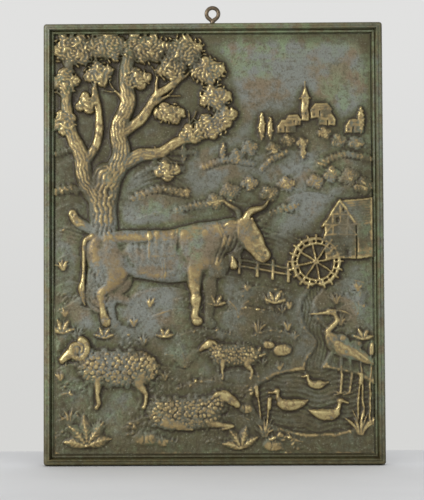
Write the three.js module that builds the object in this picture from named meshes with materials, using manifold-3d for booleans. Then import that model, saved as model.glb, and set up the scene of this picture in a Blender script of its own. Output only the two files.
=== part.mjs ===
// A cast wall plaque: a moulded frame round a country scene in relief, recessed at the back, with a
// screw eye in its top edge. Millimetres, +Z up. The plaque faces -Y and its back lies in the plane
// y = 0. The origin is the middle of the flat rim behind the eye, where the plaque meets the wall.
import * as THREE from 'three';
import { mergeVertices } from 'three/addons/utils/BufferGeometryUtils.js';
import Module from 'manifold-3d';

const wasm = await Module();
wasm.setup();

// ---------------------------------------------------------------- driving sizes

const wide = 280;             // outer width of the plaque
const tall = 364;             // outer height of the plaque
const border = 10;            // frame moulding, from the outer edge to the field
const rim = 12;               // flat rim round the recessed back
const recess = 3;             // depth of the recessed back
const topEdge = rim / 2;      // the top edge lies this far above the origin
const outerCorner = 2.4;      // radius of the plaque's four corners
const ground = 6;             // the field's sky, above the back plane
const fieldWide = wide - 2 * border;
const fieldTall = tall - 2 * border;
const fieldFoot = topEdge - tall + border;
const reliefPoints = 4080;    // points spent on the relief's surface

const eye = {
  wire: 3.3,                  // thickness of the wire
  across: 13.2,               // outside of the ring
  centre: topEdge + 8.1,      // height of the ring's middle
  back: 4.6,                  // the ring's middle plane, in front of the back plane
  shank: 5.2,                 // length let into the top edge
  gap: 0.3,                   // clearance round the shank
};

// The moulding's section: [distance in from the outer edge, height above the back plane]
const moulding = [
  [0, 0], [0, 6.6], [0.7, 8.4], [2, 9.3], [3.2, 9.1], [4.3, 10.4], [5.1, 10.4],
  [5.7, 8.0], [6.3, 6.9], [7, 7.8], [8.3, 7.6], [8.8, 5.4],
];

// ---------------------------------------------------------------- the relief's height field

const none = -99;             // height of an empty sample
const columns = fieldWide + 1;
const rows = fieldTall + 1;
const relief = new Float64Array(columns * rows);   // heights above the ground, 1 mm apart

// Figures are given in field coordinates: x from the middle line, z up from the field's foot.
function eachSample(left, right, low, high, visit) {
  const firstColumn = Math.max(0, Math.floor(left + fieldWide / 2));
  const lastColumn = Math.min(columns - 1, Math.ceil(right + fieldWide / 2));
  const firstRow = Math.max(0, Math.floor(low));
  const lastRow = Math.min(rows - 1, Math.ceil(high));
  for (let row = firstRow; row <= lastRow; row++) {
    for (let column = firstColumn; column <= lastColumn; column++) {
      visit(row * columns + column, column - fieldWide / 2, row);
    }
  }
}

// Same pseudo-random number from 0 to 1 for the same whole number
function chance(n) {
  const value = Math.sin(n * 12.9898 + 4.1) * 43758.5453;
  return value - Math.floor(value);
}

// The larger of two heights, with the valley between them filled over 'blend' millimetres
function softMax(a, b, blend) {
  const reach = Math.max(blend - Math.abs(a - b), 0);
  return Math.max(a, b) + (reach * reach) / (4 * blend);
}

// A Catmull-Rom curve through points of [x, z, radius, height]
function curveThrough(points, steps) {
  if (points.length < 3) return points;
  const last = points.length - 1;
  const lead = points[0].map((value, k) => 2 * value - points[1][k]);
  const tail = points[last].map((value, k) => 2 * value - points[last - 1][k]);
  const all = [lead, ...points, tail];
  const curve = [];
  for (let i = 1; i <= last; i++) {
    for (let step = 0; step < steps; step++) {
      const t = step / steps;
      curve.push(all[i].map((b, k) => {
        const a = all[i - 1][k];
        const c = all[i + 1][k];
        const d = all[i + 2][k];
        const square = (2 * a - 5 * b + 4 * c - d) * t * t;
        const cube = (3 * b - a - 3 * c + d) * t * t * t;
        return 0.5 * (2 * b + (c - a) * t + square + cube);
      }));
    }
  }
  curve.push(points[last]);
  return curve;
}

// A rounded section: 1 in the middle, 0 at the edge; a higher power is flatter on top
const swell = (across, power) => (1 - across ** power) ** (1 / power);

const scratch = new Float64Array(columns * rows).fill(none);

class Figure {
  constructor(base, blend = 1.2) {
    this.base = base;
    this.blend = blend;
    this.top = new Float64Array(columns * rows).fill(none);
  }

  raise(index, height) {
    this.top[index] = softMax(this.top[index], height, this.blend);
  }

  // A limb of round section whose radius and height change along it
  chain(points, power = 2, steps = 5) {
    const curve = curveThrough(points, steps);
    for (let i = 0; i + 1 < curve.length; i++) {
      const [x0, z0, r0, h0] = curve[i];
      const [x1, z1, r1, h1] = curve[i + 1];
      const reach = Math.max(r0, r1);
      const dx = x1 - x0;
      const dz = z1 - z0;
      const length = dx * dx + dz * dz;
      const left = Math.min(x0, x1) - reach;
      const right = Math.max(x0, x1) + reach;
      const low = Math.min(z0, z1) - reach;
      const high = Math.max(z0, z1) + reach;
      eachSample(left, right, low, high, (index, x, z) => {
        const along = length > 1e-9 ? ((x - x0) * dx + (z - z0) * dz) / length : 0;
        const t = Math.min(Math.max(along, 0), 1);
        const radius = Math.max(r0 + (r1 - r0) * t, 1e-6);
        const across = Math.hypot(x - x0 - dx * t, z - z0 - dz * t) / radius;
        if (across >= 1) return;
        const height = this.base + (h0 + (h1 - h0) * t) * swell(across, power);
        scratch[index] = Math.max(scratch[index], height);
      });
    }
    const reach = Math.max(...curve.map((point) => point[2]));
    const xs = curve.map((point) => point[0]);
    const zs = curve.map((point) => point[1]);
    const [left, right] = [Math.min(...xs) - reach, Math.max(...xs) + reach];
    const [low, high] = [Math.min(...zs) - reach, Math.max(...zs) + reach];
    eachSample(left, right, low, high, (index) => {
      if (scratch[index] > none) this.raise(index, scratch[index]);
      scratch[index] = none;
    });
    return this;
  }

  oval(x, z, halfWide, halfTall, height, turn = 0, power = 2) {
    const reach = Math.max(halfWide, halfTall);
    const [cos, sin] = [Math.cos(turn), Math.sin(turn)];
    eachSample(x - reach, x + reach, z - reach, z + reach, (index, px, pz) => {
      const along = ((px - x) * cos + (pz - z) * sin) / halfWide;
      const up = ((pz - z) * cos - (px - x) * sin) / halfTall;
      const across = Math.hypot(along, up);
      if (across < 1) this.raise(index, this.base + height * swell(across, power));
    });
    return this;
  }

  ring(x, z, radius, wire, height) {
    const reach = radius + wire;
    eachSample(x - reach, x + reach, z - reach, z + reach, (index, px, pz) => {
      const across = Math.abs(Math.hypot(px - x, pz - z) - radius) / wire;
      if (across < 1) this.raise(index, this.base + height * swell(across, 2));
    });
    return this;
  }

  // A flat face with eased edges: corners [x, z, height] go anticlockwise, three give its plane
  panel(corners, ease = 0.6) {
    const [[ax, az, ah], [bx, bz, bh], [cx, cz, ch]] = corners;
    const area = (bx - ax) * (cz - az) - (cx - ax) * (bz - az);
    const slopeX = ((bh - ah) * (cz - az) - (ch - ah) * (bz - az)) / area;
    const slopeZ = ((bx - ax) * (ch - ah) - (cx - ax) * (bh - ah)) / area;
    const xs = corners.map((corner) => corner[0]);
    const zs = corners.map((corner) => corner[1]);
    eachSample(Math.min(...xs), Math.max(...xs), Math.min(...zs), Math.max(...zs), (index, x, z) => {
      let inside = Infinity;
      corners.forEach(([px, pz], i) => {
        const [qx, qz] = corners[(i + 1) % corners.length];
        const side = (qx - px) * (z - pz) - (qz - pz) * (x - px);
        inside = Math.min(inside, side / Math.hypot(qx - px, qz - pz));
      });
      if (inside < 0) return;
      const plane = ah + slopeX * (x - ax) + slopeZ * (z - az);
      const eased = ease * 0.6 * Math.max(1 - inside / ease, 0) ** 2;
      this.raise(index, this.base + plane - eased);
    });
    return this;
  }

  // Lays the finished figure over what is already in the field
  lay() {
    this.top.forEach((height, index) => {
      relief[index] = Math.max(relief[index], height);
    });
  }
}

// Turns a figure's own points (in shares of its size) into field coordinates
function placed(points, [x, z], size, facing, high) {
  return points.map(([px, pz, r, h]) => [x + facing * size * px, z + size * pz, size * r, high * h]);
}

// Points of a leg or an arm: each step is [degrees from straight down, length, radius, height]
function limb(root, steps) {
  const points = [root];
  let [x, z] = root;
  steps.forEach(([degrees, length, radius, height]) => {
    const turn = THREE.MathUtils.degToRad(degrees);
    x += length * Math.sin(turn);
    z -= length * Math.cos(turn);
    points.push([x, z, radius, height]);
  });
  return points;
}

// ---------------------------------------------------------------- land and water

// One fold of ground below the line z = skyline(x)
function bank(level, skyline, soft, drop) {
  eachSample(-fieldWide / 2, fieldWide / 2, 0, fieldTall, (index, x, z) => {
    const below = skyline(x) - z;
    if (below <= 0) return;
    relief[index] = Math.max(relief[index], level - drop * Math.exp(-below / soft));
  });
}

const wave = (high, length, shift, x) => high * Math.sin((2 * Math.PI * (x - shift)) / length);
const farHill = (x) => 258 + 10 * Math.exp(-(((x - 80) / 44) ** 2)) + wave(1.6, 43, -2, x);
const middleHill = (x) => 240 + wave(5, 120, -10, x) + wave(1.5, 37, -12, x);
const nearHill = (x) => 209 + wave(5, 170, 70, x) + wave(1.2, 31, 0, x);
const meadow = (x) => 136 + wave(4, 140, -9, x) + wave(1.4, 29, -5, x) + 14 / (1 + Math.exp((78 - x) / 6));
const foreground = (x) => 70 + wave(6, 210, 30, x) + wave(1.6, 41, -4, x);

const pond = { x: 84, z: 42, halfWide: 54, halfTall: 27 };
const stream = [[85, 134], [77, 122], [78, 108], [88, 96], [89, 84], [82, 72], [80, 60]];

// Cuts the stream and the pond down to one level, inside a low raised shore
function cutWater(level, shore) {
  const course = curveThrough(stream, 8);
  eachSample(10, fieldWide / 2, 0, 150, (index, x, z) => {
    const out = Math.hypot((x - pond.x) / pond.halfWide, (z - pond.z) / pond.halfTall);
    let depth = pond.halfTall * (1 - out);
    course.forEach(([sx, sz]) => {
      const half = 4.2 + (134 - sz) * 0.05;
      depth = Math.max(depth, half - Math.hypot(x - sx, z - sz));
    });
    const inside = Math.min(Math.max(depth / 1.2, 0), 1);
    const bankHeight = shore * Math.exp(-(((depth + 1) / 1.4) ** 2));
    relief[index] = relief[index] * (1 - inside) + level * inside + bankHeight;
  });
}

function stone(x, z, halfWide, halfTall, high, seed) {
  const rock = new Figure(2, 0.5);
  rock.oval(x, z, halfWide, halfTall, high, 0.3 * (chance(seed) - 0.5), 2.6);
  const [knobX, knobZ] = [x + halfWide * 0.25, z + halfTall * 0.22];
  rock.oval(knobX, knobZ, halfWide * 0.55, halfTall * 0.5, high * 1.18, 0.8 * chance(seed + 1), 2.2);
  rock.lay();
}

// ---------------------------------------------------------------- trees and plants

// A branch of three bent lengths that forks until 'depth' runs out
function branch(tree, [x, z], turn, length, radius, height, depth, seed) {
  const points = [[x, z, radius, height]];
  let lean = turn;
  for (let i = 0; i < 3; i++) {
    lean += (chance(seed + i) - 0.5) * 32;
    const [lastX, lastZ] = points[i];
    const radians = THREE.MathUtils.degToRad(lean);
    const nextX = lastX + (length / 3) * Math.sin(radians);
    const nextZ = lastZ + (length / 3) * Math.cos(radians);
    points.push([nextX, nextZ, radius * (1 - 0.18 * (i + 1)), height * (1 - 0.1 * (i + 1))]);
  }
  tree.chain(points, 2.2, 3);
  if (depth === 0) return;
  const [endX, endZ, endRadius, endHeight] = points[3];
  const spread = 26 + 14 * chance(seed + 5);
  const side = chance(seed + 6) > 0.5 ? 1 : -1;
  const main = [lean + side * spread * 0.6, length * 0.82, endRadius * 0.82, endHeight * 0.94];
  const minor = [lean - side * spread, length * 0.72, endRadius * 0.66, endHeight * 0.86];
  branch(tree, [endX, endZ], ...main, depth - 1, seed + 17);
  branch(tree, [endX, endZ], ...minor, depth - 1, seed + 31);
}

// A mass of leaves: a soft dome with rounded lumps round its edge
function foliage(x, z, halfWide, halfTall, base, height, seed, lump = 3.2) {
  const mass = new Figure(base, 0.8);
  mass.oval(x, z, halfWide * 0.86, halfTall * 0.86, height * 0.72);
  const lumps = Math.max(4, Math.round(((halfWide + halfTall) / 2 / lump) * 1.15));
  for (let i = 0; i < lumps; i++) {
    const turn = (2 * Math.PI * (i + 0.35 * chance(seed + i))) / lumps;
    const lumpX = x + halfWide * 0.7 * Math.cos(turn);
    const lumpZ = z + halfTall * 0.7 * Math.sin(turn);
    mass.oval(lumpX, lumpZ, lump * 1.5, lump * 1.35, height * 0.62, turn);
  }
  mass.lay();
}

const oakLimbs = [
  [
    [-92, 128, 14, 2.8], [-92, 146, 12.2, 3.3], [-90, 176, 11.4, 3.4], [-91, 204, 12, 3.4],
    [-88, 226, 12.5, 3.3],
  ],
  [[-98, 136, 7, 2.4], [-107, 127, 4.5, 1.9], [-118, 121, 2.4, 1.2]],
  [[-86, 136, 7, 2.4], [-77, 127, 4.6, 1.9], [-68, 123, 2.4, 1.2]],
  [[-96, 208, 8, 3], [-106, 226, 7.2, 2.7], [-109, 246, 6.4, 2.5], [-118, 266, 5.4, 2.3],
    [-121, 290, 4.6, 2.1],
    [-119, 318, 3.8, 1.8], [-124, 346, 3, 1.6]],
  [[-86, 222, 9.5, 3.2], [-76, 244, 8.2, 3], [-78, 266, 7.2, 2.8], [-70, 288, 6.4, 2.6],
    [-72, 312, 5.6, 2.3],
    [-64, 346, 4.6, 2]],
  [
    [-80, 232, 6.5, 2.8], [-62, 244, 5.6, 2.6], [-44, 246, 4.8, 2.4], [-28, 256, 4, 2.2],
    [-12, 258, 3.2, 1.9],
  ],
  [[-75, 262, 4.8, 2.4], [-58, 276, 4.2, 2.2], [-46, 294, 3.6, 2], [-30, 306, 3, 1.8],
    [-22, 326, 2.4, 1.6]],
  [[-108, 236, 4.5, 2.2], [-96, 254, 3.8, 2], [-94, 276, 3.2, 1.9], [-98, 300, 2.6, 1.7]],
  [[-98, 182, 5, 2.8], [-112, 190, 4.2, 2.6], [-116, 196, 3.8, 2.6]],
];
// Each twig: [x, z, degrees to the right of straight up, length, radius, seed]
const oakTwigs = [
  [-28, 256, 20, 16, 2.6, 3], [-12, 258, 70, 14, 2.2, 9], [-46, 246, 125, 13, 2.2, 14],
  [-30, 306, 70, 14, 2, 21],
  [-70, 288, -40, 14, 2.4, 33], [-46, 294, -10, 14, 2.2, 37], [-121, 290, -50, 10, 2, 41],
  [-98, 300, 20, 12, 1.9, 55], [-119, 318, 35, 12, 2, 61], [-50, 286, 60, 15, 2.2, 67],
];
// Each mass of leaves: [x, z, half width, half height, seed]
const oakLeaves = [
  [-114, 332, 20, 13, 3], [-86, 335, 18, 12, 5], [-54, 333, 19, 12, 8], [-24, 330, 17, 13, 11],
  [-4, 314, 14, 11, 13],
  [2, 292, 13, 10, 15], [-3, 268, 15, 9, 17], [-34, 316, 12, 9, 19], [-62, 308, 10, 8, 23],
  [-94, 312, 12, 9, 29],
  [-122, 306, 11, 10, 31], [-123, 272, 9, 9, 37], [-36, 279, 12, 8, 43], [-38, 232, 10, 7, 47],
  [10, 276, 9, 7, 53],
  [-18, 262, 9, 6, 59], [-104, 288, 8, 7, 63],
];

function oak() {
  const tree = new Figure(1.3, 1.2);
  oakLimbs.forEach((points) => tree.chain(points, 2.2));
  oakTwigs.forEach(([x, z, turn, length, radius, seed]) => {
    branch(tree, [x, z], turn, length, radius, 1.8, 1, seed);
  });
  tree.lay();
  oakLeaves.forEach(([x, z, halfWide, halfTall, seed]) => {
    foliage(x, z, halfWide, halfTall, 2, 2.6, seed * 10);
  });
}

function poplar(x, z, across, height, base, high) {
  new Figure(base, 0.5).chain([
    [x, z, across * 0.15, high * 0.7], [x, z + height * 0.15, across * 0.3, high * 0.8],
    [x, z + height * 0.4, across * 0.5, high], [x, z + height * 0.7, across * 0.36, high * 0.9],
    [x, z + height * 0.97, across * 0.06, high * 0.5],
  ], 2.2).lay();
}

// A dock plant: broad leaves spread from one foot
function dock(x, z, leaves, high) {
  leaves.forEach(([degrees, length, across]) => {
    const turn = THREE.MathUtils.degToRad(degrees);
    const [dx, dz] = [Math.sin(turn), Math.cos(turn)];
    const [tipX, tipZ] = [Math.sin(turn * 1.08), Math.cos(turn * 1.08)];
    new Figure(2.4, 0.2).chain([
      [x, z, across * 0.12, high * 0.7],
      [x + length * 0.3 * dx, z + length * 0.3 * dz, across * 0.42, high],
      [x + length * 0.6 * dx, z + length * 0.6 * dz, across * 0.5, high * 0.95],
      [x + length * tipX, z + length * tipZ, across * 0.05, high * 0.6],
    ], 1.6).lay();
  });
}

function reed(x, z, height, degrees) {
  const turn = THREE.MathUtils.degToRad(degrees);
  const [tipX, tipZ] = [x + height * Math.sin(turn), z + height * Math.cos(turn)];
  const stem = new Figure(2, 0.2);
  const bendX = x + height * 0.5 * Math.sin(turn * 0.6);
  stem.chain([[x, z, 0.8, 1], [bendX, z + height * 0.5, 0.8, 1.2], [tipX, tipZ, 0.6, 1.2]], 2, 3);
  stem.chain([
    [tipX - 7 * Math.sin(turn), tipZ - 7 * Math.cos(turn), 1.7, 1.7], [tipX, tipZ, 1.7, 1.7],
  ], 3, 1);
  stem.lay();
}

// ---------------------------------------------------------------- buildings

// A gable end at x with the ridge running back to one side
function house(x, z, across, height, roof, depth, base, high, rise = 0.05, facing = 1) {
  const body = new Figure(base, 0.1);
  const lift = depth * rise;
  const face = (corners) => {
    const turned = corners.map(([px, pz, ph]) => [x + facing * px, z + pz, ph]);
    return facing > 0 ? turned : turned.reverse();
  };
  const half = across / 2;
  body.panel(face([
    [half, 0, high], [half + depth, lift, high * 0.45],
    [half + depth, height + lift, high * 0.45], [half, height, high],
  ]), 0.5);
  body.panel(face([
    [-across * 0.06, height + roof, high * 1.1], [across * 0.44 + 0.3, height - 0.6, high * 1.22],
    [half + depth + 1, height + lift - 0.6, high * 0.66],
    [depth - across * 0.06 + 1, height + roof + lift, high * 0.52],
  ]), 0.6);
  body.panel(face([
    [-half, 0, high], [half, 0, high], [half, height, high], [0, height + roof, high],
    [-half, height, high],
  ]), 0.6);
  body.lay();
}

function tower(x, z, across, height, cap, base, high) {
  const body = new Figure(base, 0.2);
  const strips = 7;
  for (let i = 0; i < strips; i++) {
    const middle = -1 + (2 * (i + 0.5)) / strips;
    const height0 = high * Math.sqrt(1 - middle * middle * 0.8);
    const left = x + (across / 2) * (middle - 1 / strips);
    const right = x + (across / 2) * (middle + 1 / strips);
    const top = z + height;
    body.panel([[left, z, height0], [right, z, height0], [right, top, height0], [left, top, height0]], 0.05);
  }
  const eave = across * 0.62;
  body.panel([
    [x - eave, z + height, high * 0.8], [x + eave, z + height, high * 0.8],
    [x, z + height + cap, high * 1.3],
  ], 0.5);
  body.lay();
}

function millWheel(x, z, radius, base, high) {
  const wheel = new Figure(base, 0.3);
  wheel.ring(x, z, radius, radius * 0.15, high);
  for (let i = 0; i < 8; i++) {
    const turn = (Math.PI * i) / 4 + 0.2;
    const [endX, endZ] = [x + radius * 0.95 * Math.cos(turn), z + radius * 0.95 * Math.sin(turn)];
    wheel.chain([[x, z, radius * 0.05, high * 0.85], [endX, endZ, radius * 0.045, high * 0.85]], 2, 1);
  }
  wheel.oval(x, z, radius * 0.15, radius * 0.15, high * 1.3);
  wheel.lay();
}

// ---------------------------------------------------------------- animals
// Their points are in shares of the height at the withers, facing right: [x, z, radius, height].

function ox(at, size, facing, high, base) {
  const put = (points) => placed(points, at, size, facing, high);
  const far = new Figure(base - 0.7, 1);
  far.chain(put(limb([0.46, 0.54, 0.1, 0.5], [
    [8, 0.22, 0.06, 0.45], [-4, 0.22, 0.04, 0.4], [2, 0.05, 0.044, 0.4], [32, 0.045, 0.048, 0.4],
  ])));
  far.chain(put(limb([-0.38, 0.56, 0.13, 0.5], [
    [-4, 0.14, 0.1, 0.5], [-34, 0.17, 0.052, 0.45], [6, 0.23, 0.038, 0.4], [30, 0.05, 0.05, 0.4],
  ])));
  far.chain(put([
    [0.79, 1.04, 0.034, 0.5], [0.76, 1.12, 0.03, 0.45], [0.68, 1.17, 0.02, 0.4],
    [0.63, 1.22, 0.01, 0.3],
  ]));
  far.lay();
  const body = new Figure(base, 1.6);
  const barrel = [
    [-0.56, 0.735, 0.18, 0.8], [-0.36, 0.715, 0.215, 0.9], [-0.08, 0.69, 0.245, 1], [0.18, 0.685, 0.262, 1],
    [0.38, 0.7, 0.25, 0.97],
  ];
  const back = [
    [-0.6, 0.84, 0.085, 0.78], [-0.3, 0.868, 0.07, 0.8], [0.1, 0.86, 0.08, 0.86],
    [0.34, 0.895, 0.105, 0.92],
    [0.52, 0.9, 0.12, 0.9],
  ];
  const neck = [
    [0.4, 0.8, 0.2, 0.95], [0.56, 0.85, 0.175, 0.93], [0.7, 0.9, 0.15, 0.9], [0.8, 0.94, 0.125, 0.85],
  ];
  const dewlap = [
    [0.53, 0.54, 0.085, 0.6], [0.64, 0.61, 0.065, 0.5], [0.74, 0.7, 0.05, 0.5], [0.8, 0.79, 0.045, 0.5],
  ];
  body.chain(put(barrel), 2.5);
  body.chain(put(back), 2.3);
  body.chain(put([[0.44, 0.7, 0.2, 0.95], [0.54, 0.6, 0.145, 0.8]]));
  body.chain(put(neck));
  body.chain(put(dewlap));
  body.chain(put([[-0.58, 0.76, 0.15, 0.95], [-0.57, 0.62, 0.14, 1], [-0.5, 0.52, 0.1, 0.9]]), 2.3);
  body.lay();
  const legs = new Figure(base + 0.2, 1.6);
  legs.chain(put([
    [0.38, 0.78, 0.1, 0.8], [0.37, 0.66, 0.12, 0.98], [0.34, 0.54, 0.095, 0.96], [0.335, 0.42, 0.07, 0.88],
    [0.35, 0.3, 0.05, 0.8], [0.348, 0.25, 0.056, 0.82], [0.345, 0.15, 0.038, 0.72],
    [0.342, 0.085, 0.042, 0.72],
    [0.365, 0.045, 0.05, 0.74],
  ]), 2.2);
  legs.chain(put([
    [-0.5, 0.7, 0.15, 0.92], [-0.44, 0.58, 0.145, 1.02], [-0.43, 0.49, 0.11, 0.98],
    [-0.5, 0.39, 0.072, 0.88],
    [-0.575, 0.315, 0.056, 0.82], [-0.565, 0.22, 0.04, 0.74], [-0.55, 0.1, 0.04, 0.74],
    [-0.525, 0.045, 0.05, 0.74],
  ]), 2.2);
  legs.lay();
  const head = new Figure(base + 0.8, 1);
  head.chain(put([
    [0.83, 0.955, 0.115, 0.95], [0.9, 0.86, 0.098, 0.95], [0.965, 0.765, 0.074, 0.85],
    [1.005, 0.7, 0.07, 0.82],
    [1.012, 0.68, 0.068, 0.78],
  ]), 2.3);
  head.chain(put([[0.83, 0.865, 0.085, 0.85], [0.91, 0.75, 0.058, 0.75], [0.965, 0.68, 0.05, 0.65]]));
  head.lay();
  const horn = new Figure(base + 1.2, 0.6);
  horn.chain(put([
    [0.775, 0.985, 0.028, 0.7], [0.7, 0.985, 0.044, 0.78], [0.62, 0.945, 0.03, 0.6],
    [0.585, 0.92, 0.01, 0.4],
  ]));
  horn.chain(put([
    [0.835, 1.035, 0.04, 0.9], [0.87, 1.1, 0.036, 0.85], [0.95, 1.135, 0.028, 0.7],
    [1.02, 1.16, 0.018, 0.6],
    [1.06, 1.22, 0.008, 0.5],
  ]));
  horn.lay();
  new Figure(base + 0.6, 0.6).chain(put([
    [-0.66, 0.875, 0.035, 0.7], [-0.735, 0.82, 0.026, 0.6], [-0.745, 0.62, 0.02, 0.5],
    [-0.75, 0.46, 0.022, 0.5],
    [-0.765, 0.36, 0.04, 0.7], [-0.745, 0.26, 0.02, 0.5], [-0.735, 0.21, 0.008, 0.3],
  ])).lay();
}

function ramHorn() {
  const points = [];
  for (let i = 0; i < 22; i++) {
    const t = i / 21;
    const turn = 1.9 + 1.3 * 2 * Math.PI * t;
    const radius = 0.175 * (1 - 0.6 * t);
    const [x, z] = [0.63 + radius * Math.cos(turn), 0.975 + radius * Math.sin(turn) * 0.95];
    points.push([x, z, 0.062 * (1 - 0.6 * t), 1.1 - 0.2 * t]);
  }
  return points;
}

function sheep(at, size, facing, high, base, { horned = false, lying = false } = {}) {
  const put = (points) => placed(points, at, size, facing, high);
  if (!lying) {
    const far = new Figure(base - 0.4, 0.8);
    far.chain(put(limb([0.4, 0.42, 0.08, 0.5], [
      [6, 0.2, 0.042, 0.45], [-4, 0.17, 0.032, 0.4], [30, 0.045, 0.04, 0.4],
    ])));
    far.chain(put(limb([-0.34, 0.42, 0.09, 0.5], [
      [-16, 0.2, 0.046, 0.45], [8, 0.18, 0.032, 0.4], [30, 0.045, 0.04, 0.4],
    ])));
    far.lay();
  }
  const body = new Figure(base, 1.4);
  body.chain(put([[-0.44, 0.66, 0.26, 0.9], [0, 0.66, 0.295, 1], [0.34, 0.68, 0.28, 0.95]]), 2.3);
  body.chain(put([[0.36, 0.72, 0.24, 0.95], [0.5, 0.84, 0.18, 0.92], [0.6, 0.92, 0.14, 0.9]]));
  body.lay();
  const head = new Figure(base + 0.9, 0.8);
  head.chain(put([
    [0.66, 0.98, 0.105, 0.95], [0.77, 0.905, 0.088, 0.92], [0.86, 0.835, 0.062, 0.85],
    [0.885, 0.81, 0.058, 0.8],
  ]), 2.2);
  head.lay();
  const horn = new Figure(base + 1.4, 0.5);
  const ear = [
    [0.61, 1.035, 0.03, 0.8], [0.53, 1.005, 0.045, 0.8], [0.46, 0.955, 0.025, 0.5],
    [0.44, 0.93, 0.01, 0.4],
  ];
  horn.chain(put(horned ? ramHorn() : ear), 2, horned ? 2 : 5);
  horn.lay();
  const legs = new Figure(base + 0.3, 0.9);
  if (lying) {
    legs.chain(put([
      [0.4, 0.5, 0.1, 0.85], [0.6, 0.46, 0.055, 0.8], [0.76, 0.44, 0.045, 0.7], [0.8, 0.425, 0.03, 0.7],
      [0.64, 0.385, 0.034, 0.7],
    ]));
    legs.chain(put([
      [-0.36, 0.52, 0.15, 0.98], [-0.14, 0.46, 0.1, 0.95], [-0.02, 0.42, 0.06, 0.8],
      [-0.16, 0.395, 0.042, 0.75],
      [0.08, 0.385, 0.034, 0.7],
    ]));
  } else {
    legs.chain(put([
      [0.3, 0.5, 0.1, 0.9], [0.3, 0.36, 0.065, 0.85], [0.31, 0.24, 0.04, 0.75], [0.305, 0.2, 0.042, 0.75],
      [0.3, 0.08, 0.034, 0.7], [0.325, 0.035, 0.042, 0.7],
    ]));
    legs.chain(put([
      [-0.4, 0.54, 0.14, 0.95], [-0.37, 0.42, 0.1, 0.9], [-0.45, 0.3, 0.055, 0.8],
      [-0.49, 0.24, 0.046, 0.75],
      [-0.475, 0.1, 0.034, 0.7], [-0.45, 0.035, 0.042, 0.7],
    ]));
  }
  legs.lay();
}

function duck(at, size, facing, base, high) {
  const put = (points) => placed(points, at, size, facing, high);
  const body = new Figure(base, 0.7);
  body.chain(put([
    [-0.66, 0.4, 0.03, 0.5], [-0.46, 0.3, 0.12, 0.8], [-0.15, 0.24, 0.21, 1], [0.16, 0.24, 0.215, 1],
    [0.36, 0.3, 0.14, 0.95],
  ]), 2.2);
  body.chain(put([[0.34, 0.34, 0.13, 0.95], [0.45, 0.5, 0.082, 0.9], [0.46, 0.64, 0.072, 0.9]]));
  body.oval(at[0] + facing * size * 0.5, at[1] + size * 0.74, size * 0.125, size * 0.1, high * 1.05);
  body.lay();
  new Figure(base + 0.3, 0.3)
    .chain(put([[0.6, 0.72, 0.052, 0.7], [0.7, 0.69, 0.04, 0.6], [0.8, 0.675, 0.036, 0.5]]))
    .chain(put([[-0.4, 0.34, 0.05, 0.9], [-0.12, 0.3, 0.13, 1.12], [0.14, 0.28, 0.12, 1.1]]), 2.2)
    .lay();
}

function heron(at, size, facing, base, high) {
  const put = (points) => placed(points, at, size, facing, high);
  new Figure(base, 0.3)
    .chain(put([
      [0, 0.46, 0.022, 0.5], [0, 0.25, 0.016, 0.5], [-0.01, 0.22, 0.02, 0.5], [0.01, 0, 0.014, 0.5],
    ]), 2, 1)
    .chain(put([
      [-0.09, 0.46, 0.022, 0.5], [-0.12, 0.27, 0.015, 0.45], [-0.125, 0.24, 0.02, 0.45],
      [-0.09, 0, 0.014, 0.45],
    ]), 2, 1)
    .lay();
  new Figure(base, 0.8)
    .chain(put([
      [-0.4, 0.36, 0.02, 0.4], [-0.28, 0.42, 0.06, 0.8], [-0.1, 0.5, 0.105, 1], [0.05, 0.58, 0.11, 1],
      [0.13, 0.66, 0.07, 0.95],
    ]), 2.2)
    .chain(put([
      [0.12, 0.64, 0.06, 0.95], [0.16, 0.72, 0.042, 0.9], [0.1, 0.79, 0.036, 0.9],
      [0.045, 0.85, 0.034, 0.9],
      [0.06, 0.91, 0.032, 0.9], [0.1, 0.945, 0.034, 0.9],
    ]))
    .chain(put([
      [0.08, 0.95, 0.042, 0.95], [0.14, 0.955, 0.038, 0.9], [0.19, 0.95, 0.02, 0.75],
      [0.36, 0.925, 0.008, 0.45],
    ]))
    .lay();
}

// ---------------------------------------------------------------- the scene, from the back to the front

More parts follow.
